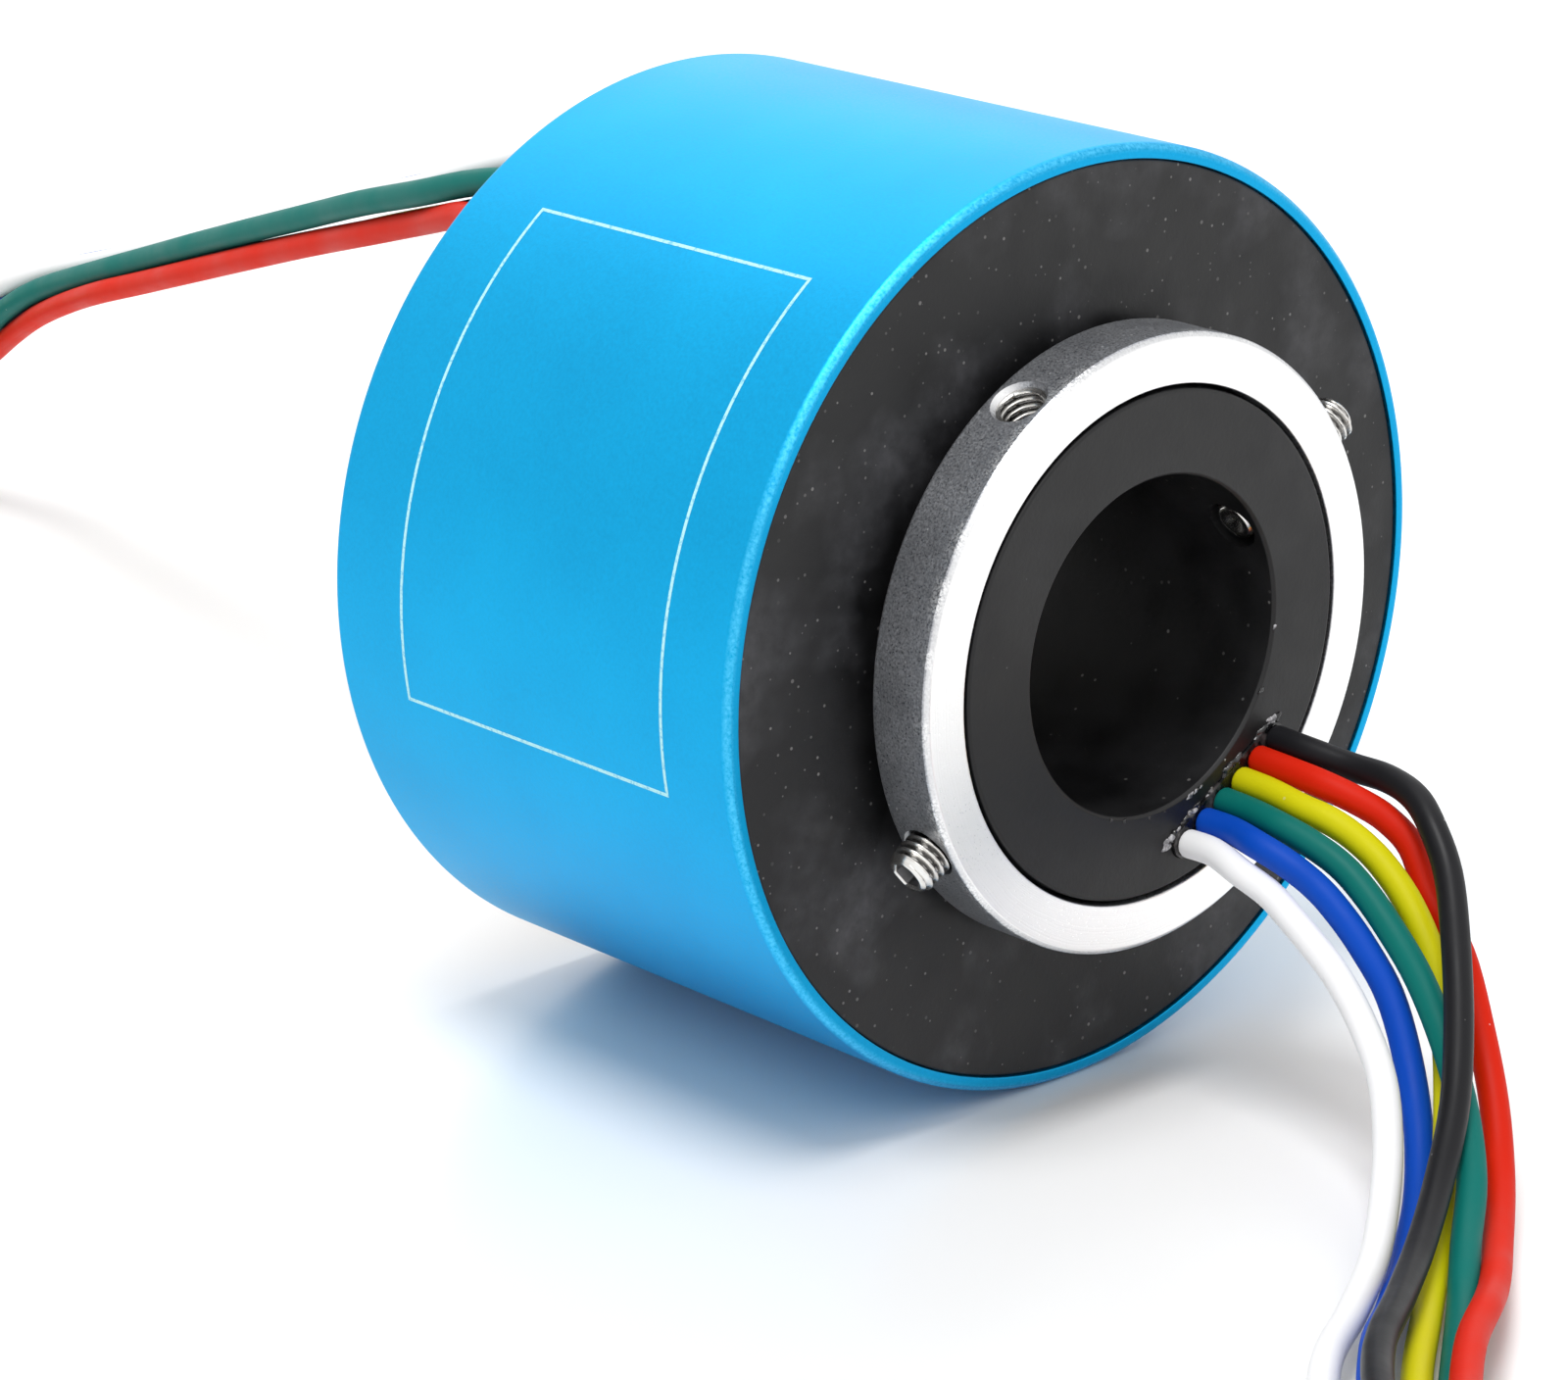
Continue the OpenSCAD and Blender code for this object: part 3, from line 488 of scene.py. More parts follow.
def make_turning():
    """Fine rings left by a lathe: they follow the radius on faces and the length on sides."""
    tree, given, leave = group("turning_marks", {"Pitch": 0.1, "Wander": 0.02}, ("Height",))
    point = place_mm(tree)
    length, radius = length_and_radius(tree, point)
    along = maths(tree, "ADD", radius, length)
    wander = maths(tree, "MULTIPLY", noise_mm(tree, point, 0.4, 1.0), given["Wander"])
    cycles = maths(tree, "DIVIDE", maths(tree, "ADD", along, wander), given["Pitch"])
    rings = put(tree, "ShaderNodeTexNoise", {"W": cycles, "Scale": 1.0, "Detail": 2.0},
                noise_dimensions="1D")
    tree.links.new(rings.outputs["Fac"], leave.inputs["Height"])
    return tree


def make_edge_band():
    """1 where the piece's length and radius are those of a given edge, down to 0 at Width."""
    tree, given, leave = group("edge_band", {"Along": 0.0, "Radius": 1.0, "Width": 0.3},
                               ("Band",))
    length, radius = length_and_radius(tree, place_mm(tree))
    far = hypotenuse(tree, maths(tree, "SUBTRACT", radius, given["Radius"]),
                     maths(tree, "SUBTRACT", length, given["Along"]))
    band = maths(tree, "SUBTRACT", 1.0, maths(tree, "DIVIDE", far, given["Width"]), clamp=True)
    tree.links.new(band, leave.inputs["Band"])
    return tree


GRAIN = make_grain()
SPECKS = make_specks()
TURNING = make_turning()
EDGE_BAND = make_edge_band()


def use(tree, shared, **inputs):
    """The outputs of a shared group; an underscore in an input's name stands for a space."""
    named = {key.replace("_", " "): value for key, value in inputs.items()}
    return put(tree, "ShaderNodeGroup", named, node_tree=shared).outputs


def material(name, **plain):
    """A new material: its tree and its Principled shader, with plain values set on it."""
    mat = bpy.data.materials.new(name)
    mat.use_nodes = True
    tree = mat.node_tree
    shader = tree.nodes["Principled BSDF"]
    for key, value in plain.items():
        shader.inputs[key.replace("_", " ")].default_value = value
    return mat, tree, shader


def paint(tree, shader, tone, uneven=None, smoothest=0.4, roughest=0.5):
    """Links the colour, and a roughness that follows an uneven mask."""
    tree.links.new(tone, shader.inputs["Base Color"])
    if uneven:
        tree.links.new(spread(tree, uneven, smoothest, roughest), shader.inputs["Roughness"])


def bump(tree, shader, height, depth_mm, strength):
    node = put(tree, "ShaderNodeBump", {
        "Height": height, "Distance": depth_mm * MM, "Strength": strength})
    tree.links.new(node.outputs[0], shader.inputs["Normal"])


def rgb(r, g, b):
    return (r, g, b, 1.0)


def grey(level):
    return rgb(level, level, level)


def shade(colour, factor):
    """A darker tone of a colour."""
    return rgb(*(c * factor for c in colour))


# ---- materials ----

def anodised_blue():
    """Bead-blasted, blue anodised aluminium, with a painted highlight line on the front chamfer.
    """
    mat, tree, shader = material("anodised_blue", Metallic=1.0, Coat_Weight=0.15,
                                 Coat_Roughness=0.25, Coat_IOR=1.5,
                                 Specular_Tint=rgb(0.78, 0.92, 1.0))
    deep, light, chamfer_highlight_tone = rgb(0.0003, 0.345, 0.665), rgb(0.001, 0.41, 0.76), rgb(0.12, 0.66, 0.98)
    grain = use(tree, GRAIN, Fineness=5.0, Cloud_Size=9.0)
    mottle = maths(tree, "ADD", maths(tree, "MULTIPLY", grain["Cloud"], 0.35),
                   maths(tree, "MULTIPLY", grain["Grain"], 0.65))
    tone = blend_colour(tree, ramp(tree, mottle, 0.35, 0.65), deep, light)
    # Painted highlight: a pale cyan line along the front chamfer, broken up by the grain.
    edge = use(tree, EDGE_BAND, Along=barrel_hi.x / MM - 0.12, Radius=BARREL_R / MM - 0.14,
               Width=0.42)
    chamfer_highlight_mask = maths(tree, "MULTIPLY", edge["Band"], spread(tree, grain["Grain"]))
    tone = blend_colour(tree, chamfer_highlight_mask, tone, chamfer_highlight_tone)
    paint(tree, shader, tone, grain["Grain"], 0.40, 0.50)
    bump(tree, shader, grain["Grain"], 0.02, 0.35)
    return mat


def dark_moulding(name, wear):
    """Matt black moulding with cloudy wiping marks and pale dust, more of both with wear."""
    mat, tree, shader = material(name, Specular_IOR_Level=0.42)
    grain = use(tree, GRAIN, Fineness=3.2, Cloud_Size=3.5)
    wiped = use(tree, GRAIN, Fineness=0.9, Cloud_Size=8.0)
    dust = use(tree, SPECKS, Spacing=1.4, Size=0.2, Amount=0.15 + 0.4 * wear)
    fine = use(tree, SPECKS, Spacing=0.5, Size=0.13, Amount=0.1 + 0.6 * wear)
    tone = blend_colour(tree, spread(tree, grain["Cloud"]), rgb(0.003, 0.003, 0.0035),
                        rgb(0.008, 0.008, 0.009))
    smear = maths(tree, "MULTIPLY", ramp(tree, wiped["Cloud"], 0.48, 0.72, 0.0, wear),
                  spread(tree, wiped["Grain"], 0.3, 1.0))
    tone = blend_colour(tree, smear, tone, rgb(0.062, 0.062, 0.068))
    speck = maths(tree, "ADD", maths(tree, "MULTIPLY", dust["Speck"], 0.7),
                  maths(tree, "MULTIPLY", fine["Speck"], 0.45), clamp=True)
    tone = blend_colour(tree, speck, tone, rgb(0.42, 0.41, 0.40))
    paint(tree, shader, tone, grain["Cloud"], 0.38, 0.56)
    bump(tree, shader, maths(tree, "ADD", grain["Grain"], wiped["Grain"]), 0.03, 0.4)
    return mat


def machined_aluminium():
    """Bright aluminium: fine turned face, blasted side with painted shade and painted glints, a
    nicked edge.
    """
    mat, tree, shader = material("machined_aluminium", Metallic=1.0)
    grain = use(tree, GRAIN, Fineness=7.0, Cloud_Size=2.5)
    marks = use(tree, TURNING, Pitch=0.09, Wander=0.3)
    painted_glints = use(tree, SPECKS, Spacing=0.32, Size=0.11, Amount=0.16)
    normal = put(tree, "ShaderNodeTexCoord").outputs["Normal"]
    ahead = put(tree, "ShaderNodeSeparateXYZ", {0: normal}).outputs["X"]
    face = ramp(tree, ahead, 0.5, 0.9)
    edge = use(tree, EDGE_BAND, Along=NOSE_X / MM - 0.35, Radius=COLLAR_R / MM - 0.15, Width=0.8)
    nicks = maths(tree, "MULTIPLY", edge["Band"], ramp(tree, grain["Grain"], 0.42, 0.58))
    nicks = maths(tree, "MULTIPLY", nicks, ramp(tree, grain["Cloud"], 0.48, 0.58))
    # Painted shade: the side's grey tones are kept far darker than the face; their grain and cloud
    # unevenness is the blasted finish.
    side = blend_colour(tree, ramp(tree, grain["Grain"], 0.35, 0.65), rgb(0.30, 0.31, 0.33),
                        rgb(0.60, 0.61, 0.64))
    side = blend_colour(tree, ramp(tree, grain["Cloud"], 0.35, 0.65, 0.0, 0.35), side,
                        rgb(0.20, 0.21, 0.23))
    # Painted glints: pale specks scattered over the side.
    side = blend_colour(tree, painted_glints["Speck"], side, grey(0.95))
    bright = blend_colour(tree, spread(tree, marks["Height"]), grey(0.97), grey(1))
    tone = blend_colour(tree, nicks, blend_colour(tree, face, side, bright), grey(0.98))
    paint(tree, shader, tone, grain["Grain"], 0.26, 0.42)
    tree.links.new(ramp(tree, face, 0.0, 1.0, 0.85, 1.0), shader.inputs["Metallic"])
    bump(tree, shader, maths(tree, "ADD", marks["Height"], grain["Grain"]), 0.012, 0.5)
    return mat


def bright_metal(name, light, dark, roughness):
    """Plain bright metal with a little unevenness and fine turning marks."""
    mat, tree, shader = material(name, Metallic=1.0)
    grain = use(tree, GRAIN, Fineness=5.0, Cloud_Size=1.5)
    marks = use(tree, TURNING, Pitch=0.07, Wander=0.1)
    tone = blend_colour(tree, spread(tree, grain["Cloud"]), rgb(*dark), rgb(*light))
    paint(tree, shader, tone, grain["Grain"], roughness * 0.8, roughness * 1.2)
    bump(tree, shader, marks["Height"], 0.01, 0.4)
    return mat


def screw_steel():
    """Bright rolled steel, with painted shade darkening its thread valleys and its socket."""
    mat, tree, shader = material("screw_steel", Metallic=1.0)
    grain = use(tree, GRAIN, Fineness=4.0, Cloud_Size=1.2)
    # Painted shade: ambient occlusion turns the thread valleys and the socket nearly black.
    open_sky = put(tree, "ShaderNodeAmbientOcclusion", {"Distance": 0.5 * MM}, samples=8)
    unshaded_share = ramp(tree, open_sky.outputs["AO"], 0.42, 0.8)
    tone = blend_colour(tree, spread(tree, grain["Cloud"]), rgb(0.66, 0.64, 0.61),
                        rgb(0.86, 0.85, 0.82))
    tone = blend_colour(tree, unshaded_share, rgb(0.035, 0.034, 0.035), tone)
    paint(tree, shader, tone, grain["Grain"], 0.16, 0.27)
    bump(tree, shader, grain["Grain"], 0.01, 0.3)
    return mat


def lead_insulation(name, colour, dustiness, roughness):
    """Smooth wire insulation: a slight unevenness of colour and gloss, and a little dust."""
    mat, tree, shader = material("insulation_" + name, Specular_IOR_Level=0.16)
    grain = use(tree, GRAIN, Fineness=1.6, Cloud_Size=5.0)
    dust = use(tree, SPECKS, Spacing=0.9, Size=0.11, Amount=dustiness)
    deepest = 0.96 if name == "white" else 0.86
    tone = blend_colour(tree, grain["Cloud"], shade(colour, deepest), rgb(*colour))
    dusty = rgb(*(min(0.9, c * 0.5 + 0.4) for c in colour))
    tone = blend_colour(tree, maths(tree, "MULTIPLY", dust["Speck"], 0.8), tone, dusty)
    paint(tree, shader, tone, grain["Cloud"], roughness * 0.8, roughness * 1.2)
    bump(tree, shader, grain["Grain"], 0.03, 0.25)
    return mat


def moulded(name, colour, roughness):
    """Moulded or laminated plastic with a fine grain."""
    mat, tree, shader = material(name, Specular_IOR_Level=0.5)
    grain = use(tree, GRAIN, Fineness=3.0, Cloud_Size=3.0)
    tone = blend_colour(tree, grain["Cloud"], shade(colour, 0.85), rgb(*colour))
    paint(tree, shader, tone, grain["Grain"], roughness * 0.85, roughness * 1.15)
    bump(tree, shader, grain["Grain"], 0.03, 0.4)
    return mat


def sealing_resin():
    """Glossy, lumpy sealant: black with cloudy, half clear patches."""
    mat, tree, shader = material("sealing_resin", Specular_IOR_Level=0.6)
    grain = use(tree, GRAIN, Fineness=1.3, Cloud_Size=0.9)
    tone = blend_colour(tree, ramp(tree, grain["Cloud"], 0.5, 0.75), rgb(0.008, 0.008, 0.009),
                        rgb(0.13, 0.12, 0.12))
    paint(tree, shader, tone, grain["Grain"], 0.1, 0.28)
    bump(tree, shader, grain["Grain"], 0.12, 0.7)
    return mat


def dry_sealant():
    """Half clear, whitish sealant that has dried in drops and strings."""
    mat, tree, shader = material("dry_sealant", Specular_IOR_Level=0.6, Roughness=0.2)
    grain = use(tree, GRAIN, Fineness=3.0, Cloud_Size=0.3)
    tone = blend_colour(tree, ramp(tree, grain["Cloud"], 0.35, 0.65), rgb(0.03, 0.03, 0.035),
                        rgb(0.55, 0.54, 0.56))
    paint(tree, shader, tone)
    bump(tree, shader, grain["Grain"], 0.08, 0.6)
    return mat


def label_ink():
    """Pale printed line with small gaps in its cover."""
    mat, tree, shader = material("label_ink", Specular_IOR_Level=0.4)
    grain = use(tree, GRAIN, Fineness=4.0, Cloud_Size=2.0)
    tone = blend_colour(tree, ramp(tree, grain["Grain"], 0.35, 0.5), rgb(0.2, 0.61, 0.82),
                        rgb(0.48, 0.87, 0.92))
    paint(tree, shader, tone, grain["Grain"], 0.45, 0.6)
    return mat


LEAD_COLOURS = {
    "black": (0.012, 0.012, 0.014),
    "red": (0.72, 0.016, 0.001),
    "yellow": (0.70, 0.65, 0.002),
    "green": (0.0003, 0.165, 0.14),
    "blue": (0.0015, 0.075, 0.54),
    "white": (0.97, 0.97, 0.98),
}
DUST_AND_ROUGHNESS = {"black": (0.35, 0.42)}          # the other leads are cleaner and duller
BRIGHT_METALS = {                                     # lightest tone, darkest tone, roughness
    "bearing_steel": ((0.64, 0.65, 0.67), (0.5, 0.51, 0.53), 0.22),
    "spring_steel": ((0.16, 0.16, 0.17), (0.1, 0.1, 0.1), 0.4),
    "cage_brass": ((0.80, 0.56, 0.22), (0.66, 0.44, 0.16), 0.3),
    "ring_brass": ((0.88, 0.66, 0.28), (0.78, 0.56, 0.22), 0.2),
    "brush_wire": ((0.95, 0.72, 0.32), (0.85, 0.62, 0.26), 0.2),
    "tinned_copper": ((0.78, 0.78, 0.76), (0.6, 0.6, 0.58), 0.3),
}
PLASTICS = {                                          # colour, roughness
    "carrier_board": ((0.02, 0.07, 0.025), 0.45),
    "insulator_plastic": ((0.70, 0.64, 0.48), 0.5),
    "tie_nylon": ((0.014, 0.014, 0.014), 0.45),
}

FINISHES = {
    "blue_anodised_aluminium": anodised_blue(),
    "dark_moulding": dark_moulding("dark_moulding", 1.0),
    "inner_moulding": dark_moulding("inner_moulding", 0.12),
    "machined_aluminium": machined_aluminium(),
    "screw_steel": screw_steel(),
    "potting": sealing_resin(),
    "dry_sealant": dry_sealant(),
    "label_ink": label_ink(),
}
for metal_name, look in BRIGHT_METALS.items():
    FINISHES[metal_name] = bright_metal(metal_name, *look)
for plastic_name, look in PLASTICS.items():
    FINISHES[plastic_name] = moulded(plastic_name, *look)
for lead_name, lead_colour in LEAD_COLOURS.items():
    FINISHES["lead_" + lead_name] = lead_insulation(
        lead_name, lead_colour, *DUST_AND_ROUGHNESS.get(lead_name, (0.1, 0.55)))
FINISHES["lead_coil"] = FINISHES["lead_black"]

for part in frame["record"]["subparts"]:
    node_mesh = frame["nodes"][part["node"]].data
    node_mesh.materials.clear()
    node_mesh.materials.append(FINISHES[part["material_slot"]])


# ---- barrel, cover, sleeve and collar ----

def build_barrel():
    """The barrel, with a seat for a cover in each end and a small chamfer round both rims."""
    x0, x1 = barrel_lo.x, barrel_hi.x
    c = BARREL_CHAMFER
    profile = [(x1 - SEAT_DEPTH, INNER_R), (x1 - SEAT_DEPTH, SEAT_R), (x1, SEAT_R),
               (x1, BARREL_R - c), (x1 - c, BARREL_R), (x0 + c, BARREL_R), (x0, BARREL_R - c),
               (x0, SEAT_R), (x0 + SEAT_DEPTH, SEAT_R), (x0 + SEAT_DEPTH, INNER_R)]
    edge, soft = 0.08 * MM, 0.2 * MM
    radii = [0, 0, edge, edge, soft, soft, edge, edge, 0, 0]
    smooth(turned("barrel", profile, radii, "blue_anodised_aluminium", "stator",
                  ["housing"]))


def build_front_cover():
    """The front cover: a stepped disc with the front bearing's pocket behind it."""
    x, back, lip = front_hi.x, front_lo.x, front_hi.x - COVER_LIP
    r, hole = front_hi.z, SHOULDER_R + COVER_GAP
    profile = [(x, hole), (x, r), (-SEAT_DEPTH, r), (-SEAT_DEPTH, r - COVER_STEP),
               (back, r - COVER_STEP), (back, POCKET_R), (lip, POCKET_R), (lip, hole)]
    radii = [0.15 * MM, 0.2 * MM, 0, 0, 0, 0, 0, 0]
    smooth(turned("front_cover_plate", profile, radii, "dark_moulding", "stator",
                  ["front_cover"]))


def build_sleeve():
    """The hollow sleeve, with its shoulder, the ring groove, screw holes and the leads' slot."""
    x0, x1 = sleeve_lo.x, sleeve_hi.x
    shoulder_x0, shoulder_x1 = front_hi.x - COVER_LIP, collar_lo.x
    groove_x1 = x0 + 2.15 * MM
    groove_x0 = groove_x1 - 1 * MM
    groove_r = SLEEVE_R - 0.7 * MM
    c, edge = 0.18 * MM, 0.06 * MM
    profile = [(x0, BORE_R + c), (x0, SLEEVE_R), (groove_x0, SLEEVE_R), (groove_x0, groove_r),
               (groove_x1, groove_r), (groove_x1, SLEEVE_R), (shoulder_x0, SLEEVE_R),
               (shoulder_x0, SHOULDER_R), (shoulder_x1, SHOULDER_R), (shoulder_x1, SLEEVE_R),
               (x1, SLEEVE_R), (x1, BORE_R + c), (x1 - c, BORE_R), (x0 + c, BORE_R)]
    radii = [edge, 0.3 * MM, 0, 0, 0, 0, 0, 0, edge, 0, 0.25 * MM, edge, edge, edge]
    obj = turned("sleeve", profile, radii, "inner_moulding", "rotor",
                 ["rotor_sleeve"])
    r = SCREW_R + 0.15 * MM
    tools = [hole_cutter([(r, BORE_R - 2 * MM), (r, SLEEVE_R + 0.4 * MM)], angle)
             for angle in HOLE_ANGLES]
    tools.append(row_cutter(x1 - 1.2 * MM, x1 + 1 * MM))
    smooth(cut(obj, tools))


def build_collar():
    """The clamp collar, with its tapped holes countersunk at the mouth."""
    x0, x1 = collar_lo.x, collar_hi.x
    c, edge = COLLAR_CHAMFER, 0.1 * MM
    profile = [(x0, COLLAR_IN_R), (x0, COLLAR_R - c), (x0 + c, COLLAR_R), (x1 - c, COLLAR_R),
               (x1, COLLAR_R - c), (x1, COLLAR_IN_R)]
    obj = turned("collar", profile, [edge] * 5 + [0.15 * MM], "machined_aluminium", "rotor",
                 ["clamp_collar"])
    r = SCREW_R + 0.01 * MM
    flare, slope = 1.3 * MM, 0.6
    tools = [hole_cutter([(r, SLEEVE_R - 1 * MM), (r, HOLE_MOUTH_R),
                          (r + flare * slope, HOLE_MOUTH_R + flare)], angle)
             for angle in HOLE_ANGLES]
    smooth(cut(obj, tools), 30)


# ---- set screws, the open hole's thread and the printed outline ----

def hexagon(apothem, height, sides):
    """A ring with the outline of a hexagon, as (radius, height) points."""
    sector = math.pi / 3
    return [(apothem / math.cos((2 * math.pi * k / sides) % sector - sector / 2), height)
            for k in range(sides)]


def build_set_screw(name, angle):
    """Set screw: rolled thread, cup point and a hexagon socket in its outer end."""
    sides, step = 48, SCREW_PITCH / 10
    crest, depth = SCREW_R - 0.02 * MM, 0.29 * MM
    top = SCREW_LEN
    rings = [[(0.3 * MM, 0.35 * MM)] * sides, [(0.7 * MM, 0.0)] * sides]
    for j in range(round(SCREW_LEN / step) + 1):
        z = j * step
        limit = crest - SCREW_BEVEL + min(z, SCREW_LEN - z)
        rings.append([(min(crest - depth * (1 - thread_wave(z / SCREW_PITCH - k / sides)), limit),
                       z) for k in range(sides)])
    rings.append(hexagon(SOCKET_APOTHEM + 0.09 * MM, top, sides))
    first_shaded_socket_vert = len(rings) * sides
    rings += [hexagon(SOCKET_APOTHEM, top - 0.1 * MM, sides),
              hexagon(SOCKET_APOTHEM, top - SOCKET_DEPTH, sides),
              [(0.35 * MM, top - SOCKET_DEPTH - 0.4 * MM)] * sides]
    rings = [[(r, SCREW_ROOT + z) for r, z in ring] for ring in rings]
    obj = piece(name, ring_verts(rings, radial_matrix(angle, SCREW_X)),
                stack_faces(len(rings), sides), "screw_steel", "rotor",
                ["set_screws"])
    # Painted shade: the socket's inner faces take the darker spring steel.
    obj.data.materials.append(FINISHES["spring_steel"])
    for face in obj.data.polygons:
        if min(face.vertices) >= first_shaded_socket_vert:
            face.material_index = 1
    smooth(obj, 50)


def build_hole_thread():
    """The cut thread inside the collar's open hole, as a sleeve set into the hole's wall."""
    step = SCREW_PITCH / 12
    low, high = COLLAR_IN_R + 0.1 * MM, COLLAR_R - 0.4 * MM
    depth = 0.27 * MM
    rings = []
    for j in range(int((high - low) / step) + 1):
        z = low + j * step
        rings.append([(SCREW_R - depth * thread_wave(z / SCREW_PITCH - k / HOLE_SIDES), z)
                      for k in range(HOLE_SIDES)])
    outside = SCREW_R + 0.1 * MM
    rings += [[(outside, high)] * HOLE_SIDES, [(outside, low)] * HOLE_SIDES]
    obj = piece("collar_thread", ring_verts(rings, radial_matrix(OPEN_HOLE_ANGLE, SCREW_X)),
                loop_faces(len(rings), HOLE_SIDES), "screw_steel", "rotor")
    smooth(obj, 50)


def build_label_outline():
    """Thin printed outline on the barrel, with nothing inside it."""
    r_low, r_high = BARREL_R - 0.01 * MM, BARREL_R + 0.012 * MM
    half = LABEL_LINE / 2
    half_turn = math.degrees(half / BARREL_R)
    path = []                              # x, angle, and which way is out of the outline
    for x, start, stop, out_x in ((LABEL_X[1], *LABEL_ANGLES, 1),
                                  (LABEL_X[0], *LABEL_ANGLES[::-1], -1)):
        for k in range(LABEL_STEPS + 1):
            out_angle = {0: -out_x, LABEL_STEPS: out_x}.get(k, 0)
            path.append((x, start + (stop - start) * k / LABEL_STEPS, out_x, out_angle))
    verts = []
    for x, angle, out_x, out_angle in path:
        for r, s in ((r_low, -1), (r_low, 1), (r_high, 1), (r_high, -1)):
            a = math.radians(angle + s * half_turn * out_angle)
            verts.append((x + s * half * out_x, r * math.cos(a), r * math.sin(a)))
    smooth(piece("label_outline", verts, loop_faces(len(path), 4), "label_ink", "stator"))


def build_drops(name, count, sizes, finish, seed):
    """Drops of sealant between the row of leads and the bore, and a few on the bore's rim."""
    pick = random.Random(seed)
    reach = ROW_STEP * len(LEAD_NAMES) / 2
    rim_share, waves, swelling = 0.25, 3, 0.35
    verts, faces = [], []
    for _ in range(count):
        size = pick.uniform(*sizes) * MM
        offset = pick.uniform(-1.08, 1.03) * reach
        level = ROW_R - LEAD_D / 2 - pick.uniform(-0.15, 0.2) * MM
        if pick.random() < rim_share:
            size *= 0.4
            offset *= 1.6
            level = math.sqrt(BORE_R ** 2 - offset ** 2) + 0.3 * MM
        centre = ROW_OUT * level + ROW_ALONG * offset + Vector((NOSE_X, 0, 0))
        bm = bmesh.new()
        bmesh.ops.create_icosphere(bm, subdivisions=3, radius=size)
        phase_y, phase_z, _ = [pick.uniform(0, 6.28) for _ in range(3)]
        stretch = pick.uniform(0.9, 2.2)
        base = len(verts)
        for v in bm.verts:
            local = v.co * (1 + swelling * math.sin(v.co.y / size * waves + phase_y)
                            * math.sin(v.co.z / size * waves + phase_z))
            verts.append(centre + Vector((local.x * 0.6, 0, 0)) + ROW_OUT * local.y
                         + ROW_ALONG * local.z * stretch)
        bm.verts.ensure_lookup_table()
        faces += [tuple(base + v.index for v in f.verts) for f in bm.faces]
        bm.free()
    piece(name, verts, faces, finish, "rotor").data.shade_smooth()


# ---- leads ----

def spline_points(route, steps):
    """Points on a smooth curve through a route, with so many steps between two points."""
    last = len(route) - 1
    out = []
    for i in range(last):
        p0, p1 = route[max(i - 1, 0)], route[i]
        p2, p3 = route[i + 1], route[min(i + 2, last)]
        for k in range(steps):
            t = k / steps
            out.append(0.5 * (2 * p1 + (p2 - p0) * t + (2 * p0 - 5 * p1 + 4 * p2 - p3) * t * t
                              + (3 * p1 - p0 - 3 * p2 + p3) * t ** 3))
    out.append(route[last])
    return out


def coil_points(coil, z):
    """A flat spiral that winds inwards from the coil's entry point."""
    out = []
    for k in range(1, int(coil["turns"] * COIL_STEPS) + 1):
        turns = k / COIL_STEPS
        angle = math.radians(coil["entry"] + 360 * turns)
        r = coil["radius"] * MM - COIL_PITCH * turns
        out.append(Vector((coil["centre"][0] * MM + r * math.cos(angle),
                           coil["centre"][1] * MM + r * math.sin(angle), z)))
    return out


def build_tip(name, start, heading, body, replaced):
    """Stripped and tinned end: six strands twisted round a seventh."""
    strand, steps, twist = TIP_D / 6, 18, 1.2
    side = heading.cross(Vector((0, 0, 1))).normalized()
    up = side.cross(heading)
    verts, faces = [], []
    for s in range(7):
        path = []
        for k in range(steps + 1):
            point = start + heading * TIP_LENGTH * k / steps
            if s:
                a = 2 * math.pi * (s / 6 + twist * k / steps)
                point = point + (side * math.cos(a) + up * math.sin(a)) * strand * 2
            path.append(point)
        strand_verts, strand_faces = tube(path, strand, 8)
        faces += [tuple(i + len(verts) for i in face) for face in strand_faces]
        verts += strand_verts
    obj = piece(name, verts, faces, "tinned_copper", body, replaced)
    obj.data.shade_smooth()
    return obj


def build_lead(side, name, route):
    """A lead from its blunt start to its stripped end, as one cord with its tip."""
    points = [Vector(p) * MM for p in route]
    line = spline_points(points, 5) + coil_points(COILS[side], points[-1].z)
    heading = (line[-1] - line[-2]).normalized()
    bend = math.radians(9)
    for _ in range(3):
        heading = Matrix.Rotation(bend, 3, "Z") @ heading
        line.append(line[-1] + heading * 0.6 * MM)
    line[:1] = [line[0].lerp(line[1], share) for share in BLUNT_START]
    widths = list(BLUNT_START.values())
    curve = bpy.data.curves.new(f"{side}_{name}_lead", "CURVE")
    curve.dimensions = "3D"
    curve.bevel_depth = LEAD_D / 2
    curve.bevel_resolution = 6
    curve.use_fill_caps = True
    spline = curve.splines.new("POLY")
    spline.points.add(len(line) - 1)
    for number, (point, at) in enumerate(zip(spline.points, line)):
        point.co = (*at, 1)
        point.radius = widths[number] if number < len(widths) else 1
    spline.use_smooth = True
    obj = add_object(f"{side}_{name}_lead", curve)
    claim(obj, "lead_" + name, side, [f"{side}_lead_{name}", f"{side}_lead_coil"])
    tip = build_tip(f"{side}_{name}_tip", line[-1] - heading * 0.1 * MM, heading, side,
                    [f"{side}_lead_tips"])


# ---- floor, light and camera ----

def white_floor():
    """Glossy white sheet; it shows as pure white to the camera where no shadow falls."""
    mat, tree, shader = material("white_floor", Specular_IOR_Level=0.5, Roughness=0.3, IOR=1.5)
    grain = use(tree, GRAIN, Fineness=0.05, Cloud_Size=60.0)
    paint(tree, shader, blend_colour(tree, grain["Cloud"], grey(0.93), grey(0.96)))
    return mat


def build_floor():
    """The sheet that the part lies on."""
    corners = [(-1, -1), (1, -1), (1, 1), (-1, 1)]
    floor = add_mesh("floor", [(x * FLOOR_HALF, y * FLOOR_HALF, FLOOR_Z) for x, y in corners],
                     [(0, 1, 2, 3)])
    floor.data.materials.append(white_floor())


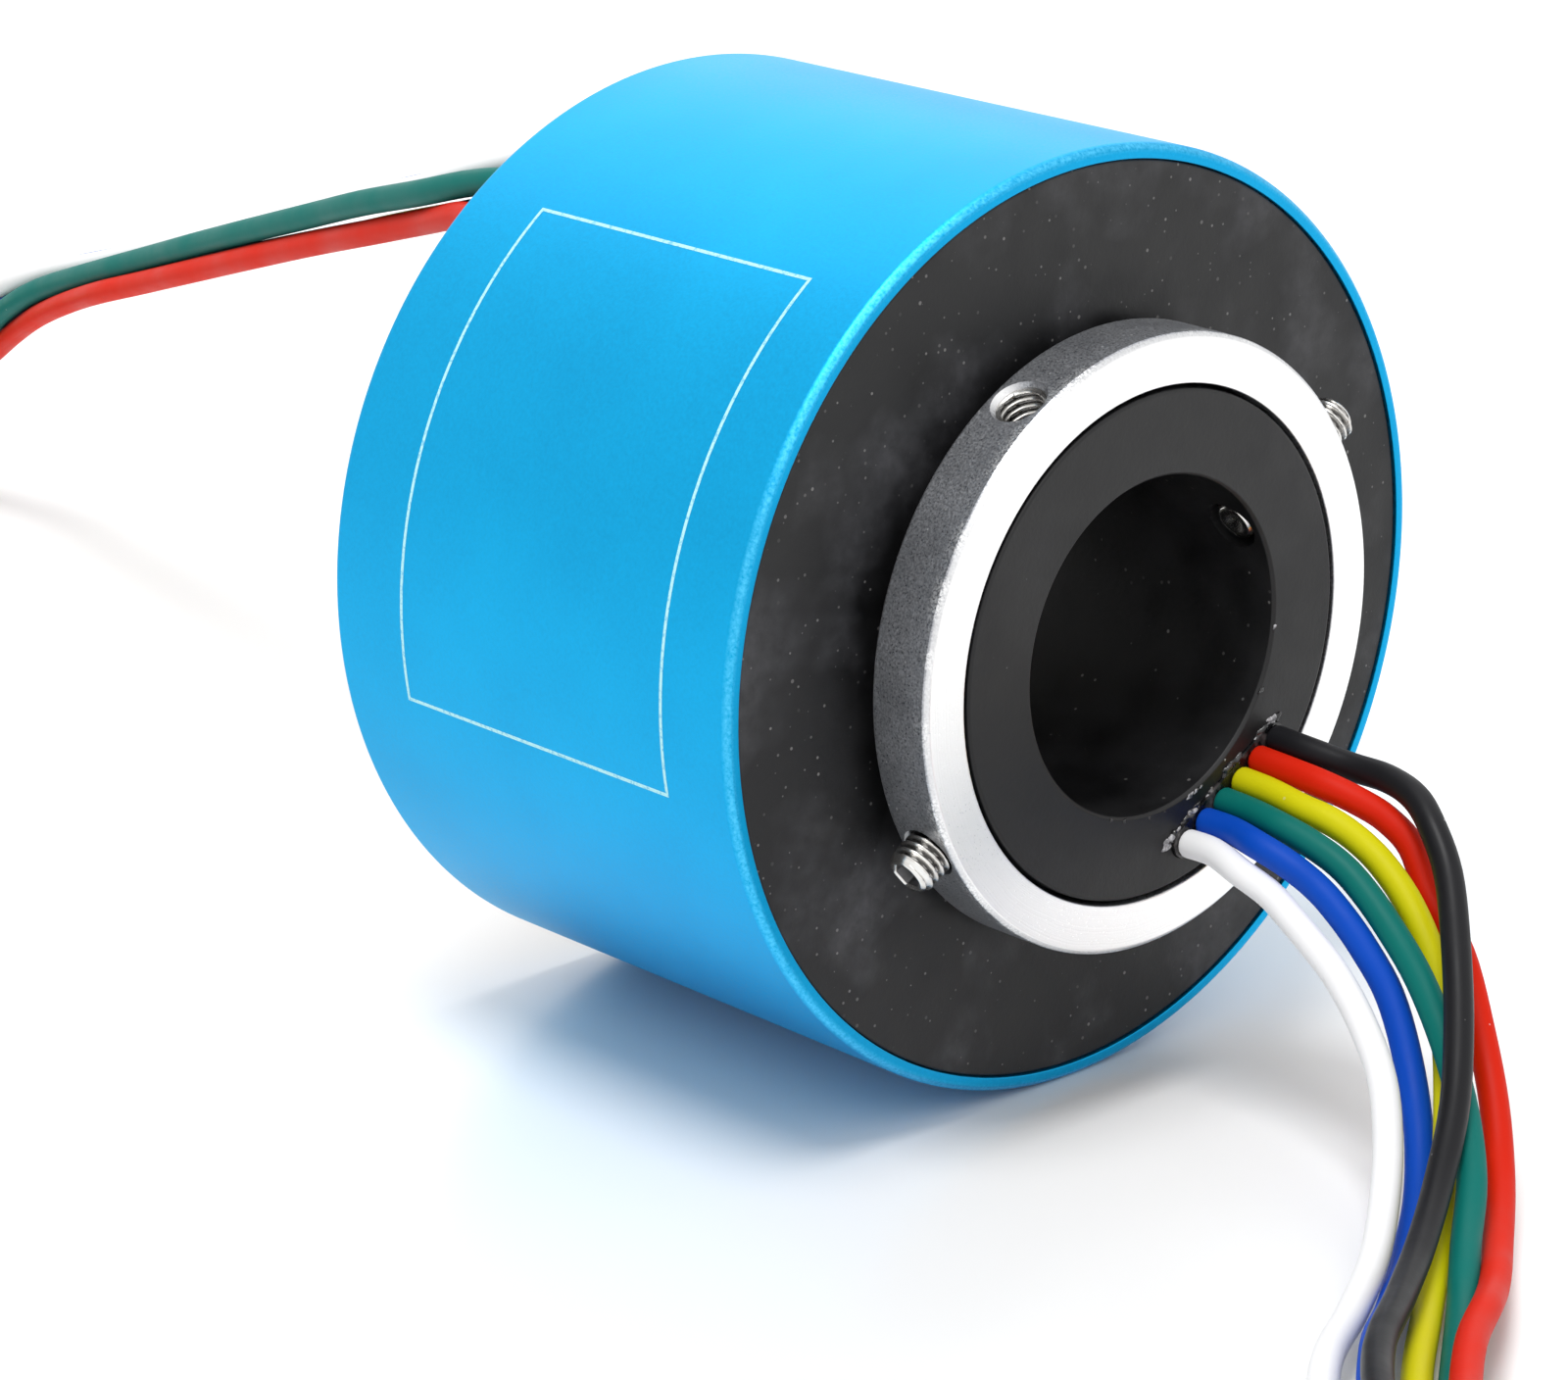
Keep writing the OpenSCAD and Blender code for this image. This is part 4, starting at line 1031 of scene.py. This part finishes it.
def light_world(level):
    """White surroundings: plain white to camera, gloss and glass, and dimmer as a light."""
    world = bpy.data.worlds.new("studio")
    bpy.context.scene.world = world
    world.use_nodes = True
    tree = world.node_tree
    ray = put(tree, "ShaderNodeLightPath").outputs
    seen = maths(tree, "MAXIMUM", ray["Is Camera Ray"], ray["Is Glossy Ray"])
    seen = maths(tree, "MAXIMUM", seen, ray["Is Transmission Ray"])
    background = tree.nodes["Background"]
    background.inputs["Color"].default_value = grey(1)
    tree.links.new(ramp(tree, seen, 0.0, 1.0, level, 1.0), background.inputs["Strength"])


def add_sun(name, towards, strength, spread_angle):
    """A wide, soft sun whose light comes from the direction given."""
    lamp = bpy.data.lights.new(name, "SUN")
    lamp.energy = strength
    lamp.angle = math.radians(spread_angle)
    obj = add_object(name, lamp)
    obj.rotation_euler = Vector(towards).to_track_quat("Z", "Y").to_euler()


def add_camera():
    """The scene's camera, above the leads and looking along the front rim."""
    back = Vector((math.sin(CAMERA_AZIMUTH) * math.cos(CAMERA_ELEVATION),
                   -math.cos(CAMERA_AZIMUTH) * math.cos(CAMERA_ELEVATION),
                   math.sin(CAMERA_ELEVATION)))
    camera = bpy.data.cameras.new("camera")
    camera.sensor_width = SENSOR
    camera.lens = LENS
    camera.clip_start = 0.01
    obj = add_object("camera", camera)
    obj.location = CAMERA_PLACE
    obj.rotation_euler = back.to_track_quat("Z", "Y").to_euler()
    bpy.context.scene.camera = obj


# ---- the whole scene ----

build_barrel()
build_front_cover()
build_sleeve()
build_collar()
for number, screw_angle in enumerate(SCREW_ANGLES, 1):
    build_set_screw(f"set_screw_{number}", screw_angle)
build_hole_thread()
build_label_outline()
build_drops("dark_sealant_drops", 20, (0.18, 0.34), "potting", 4)
build_drops("pale_sealant_drops", 17, (0.15, 0.34), "dry_sealant", 9)
for lead_name in LEAD_NAMES:
    build_lead("rotor", lead_name, ROTOR_ROUTES[lead_name])
    build_lead("stator", lead_name, STATOR_ROUTES[lead_name])

build_floor()
light_world(0.55)
add_sun("top_light", (0.06, -0.24, 0.97), 1.7, 24)
add_sun("back_light", (-0.65, 0.45, 0.6), 0.55, 60)
add_sun("front_light", (0.5, -0.3, 0.8), 0.5, 50)
add_camera()
bpy.context.scene.view_settings.view_transform = "Standard"
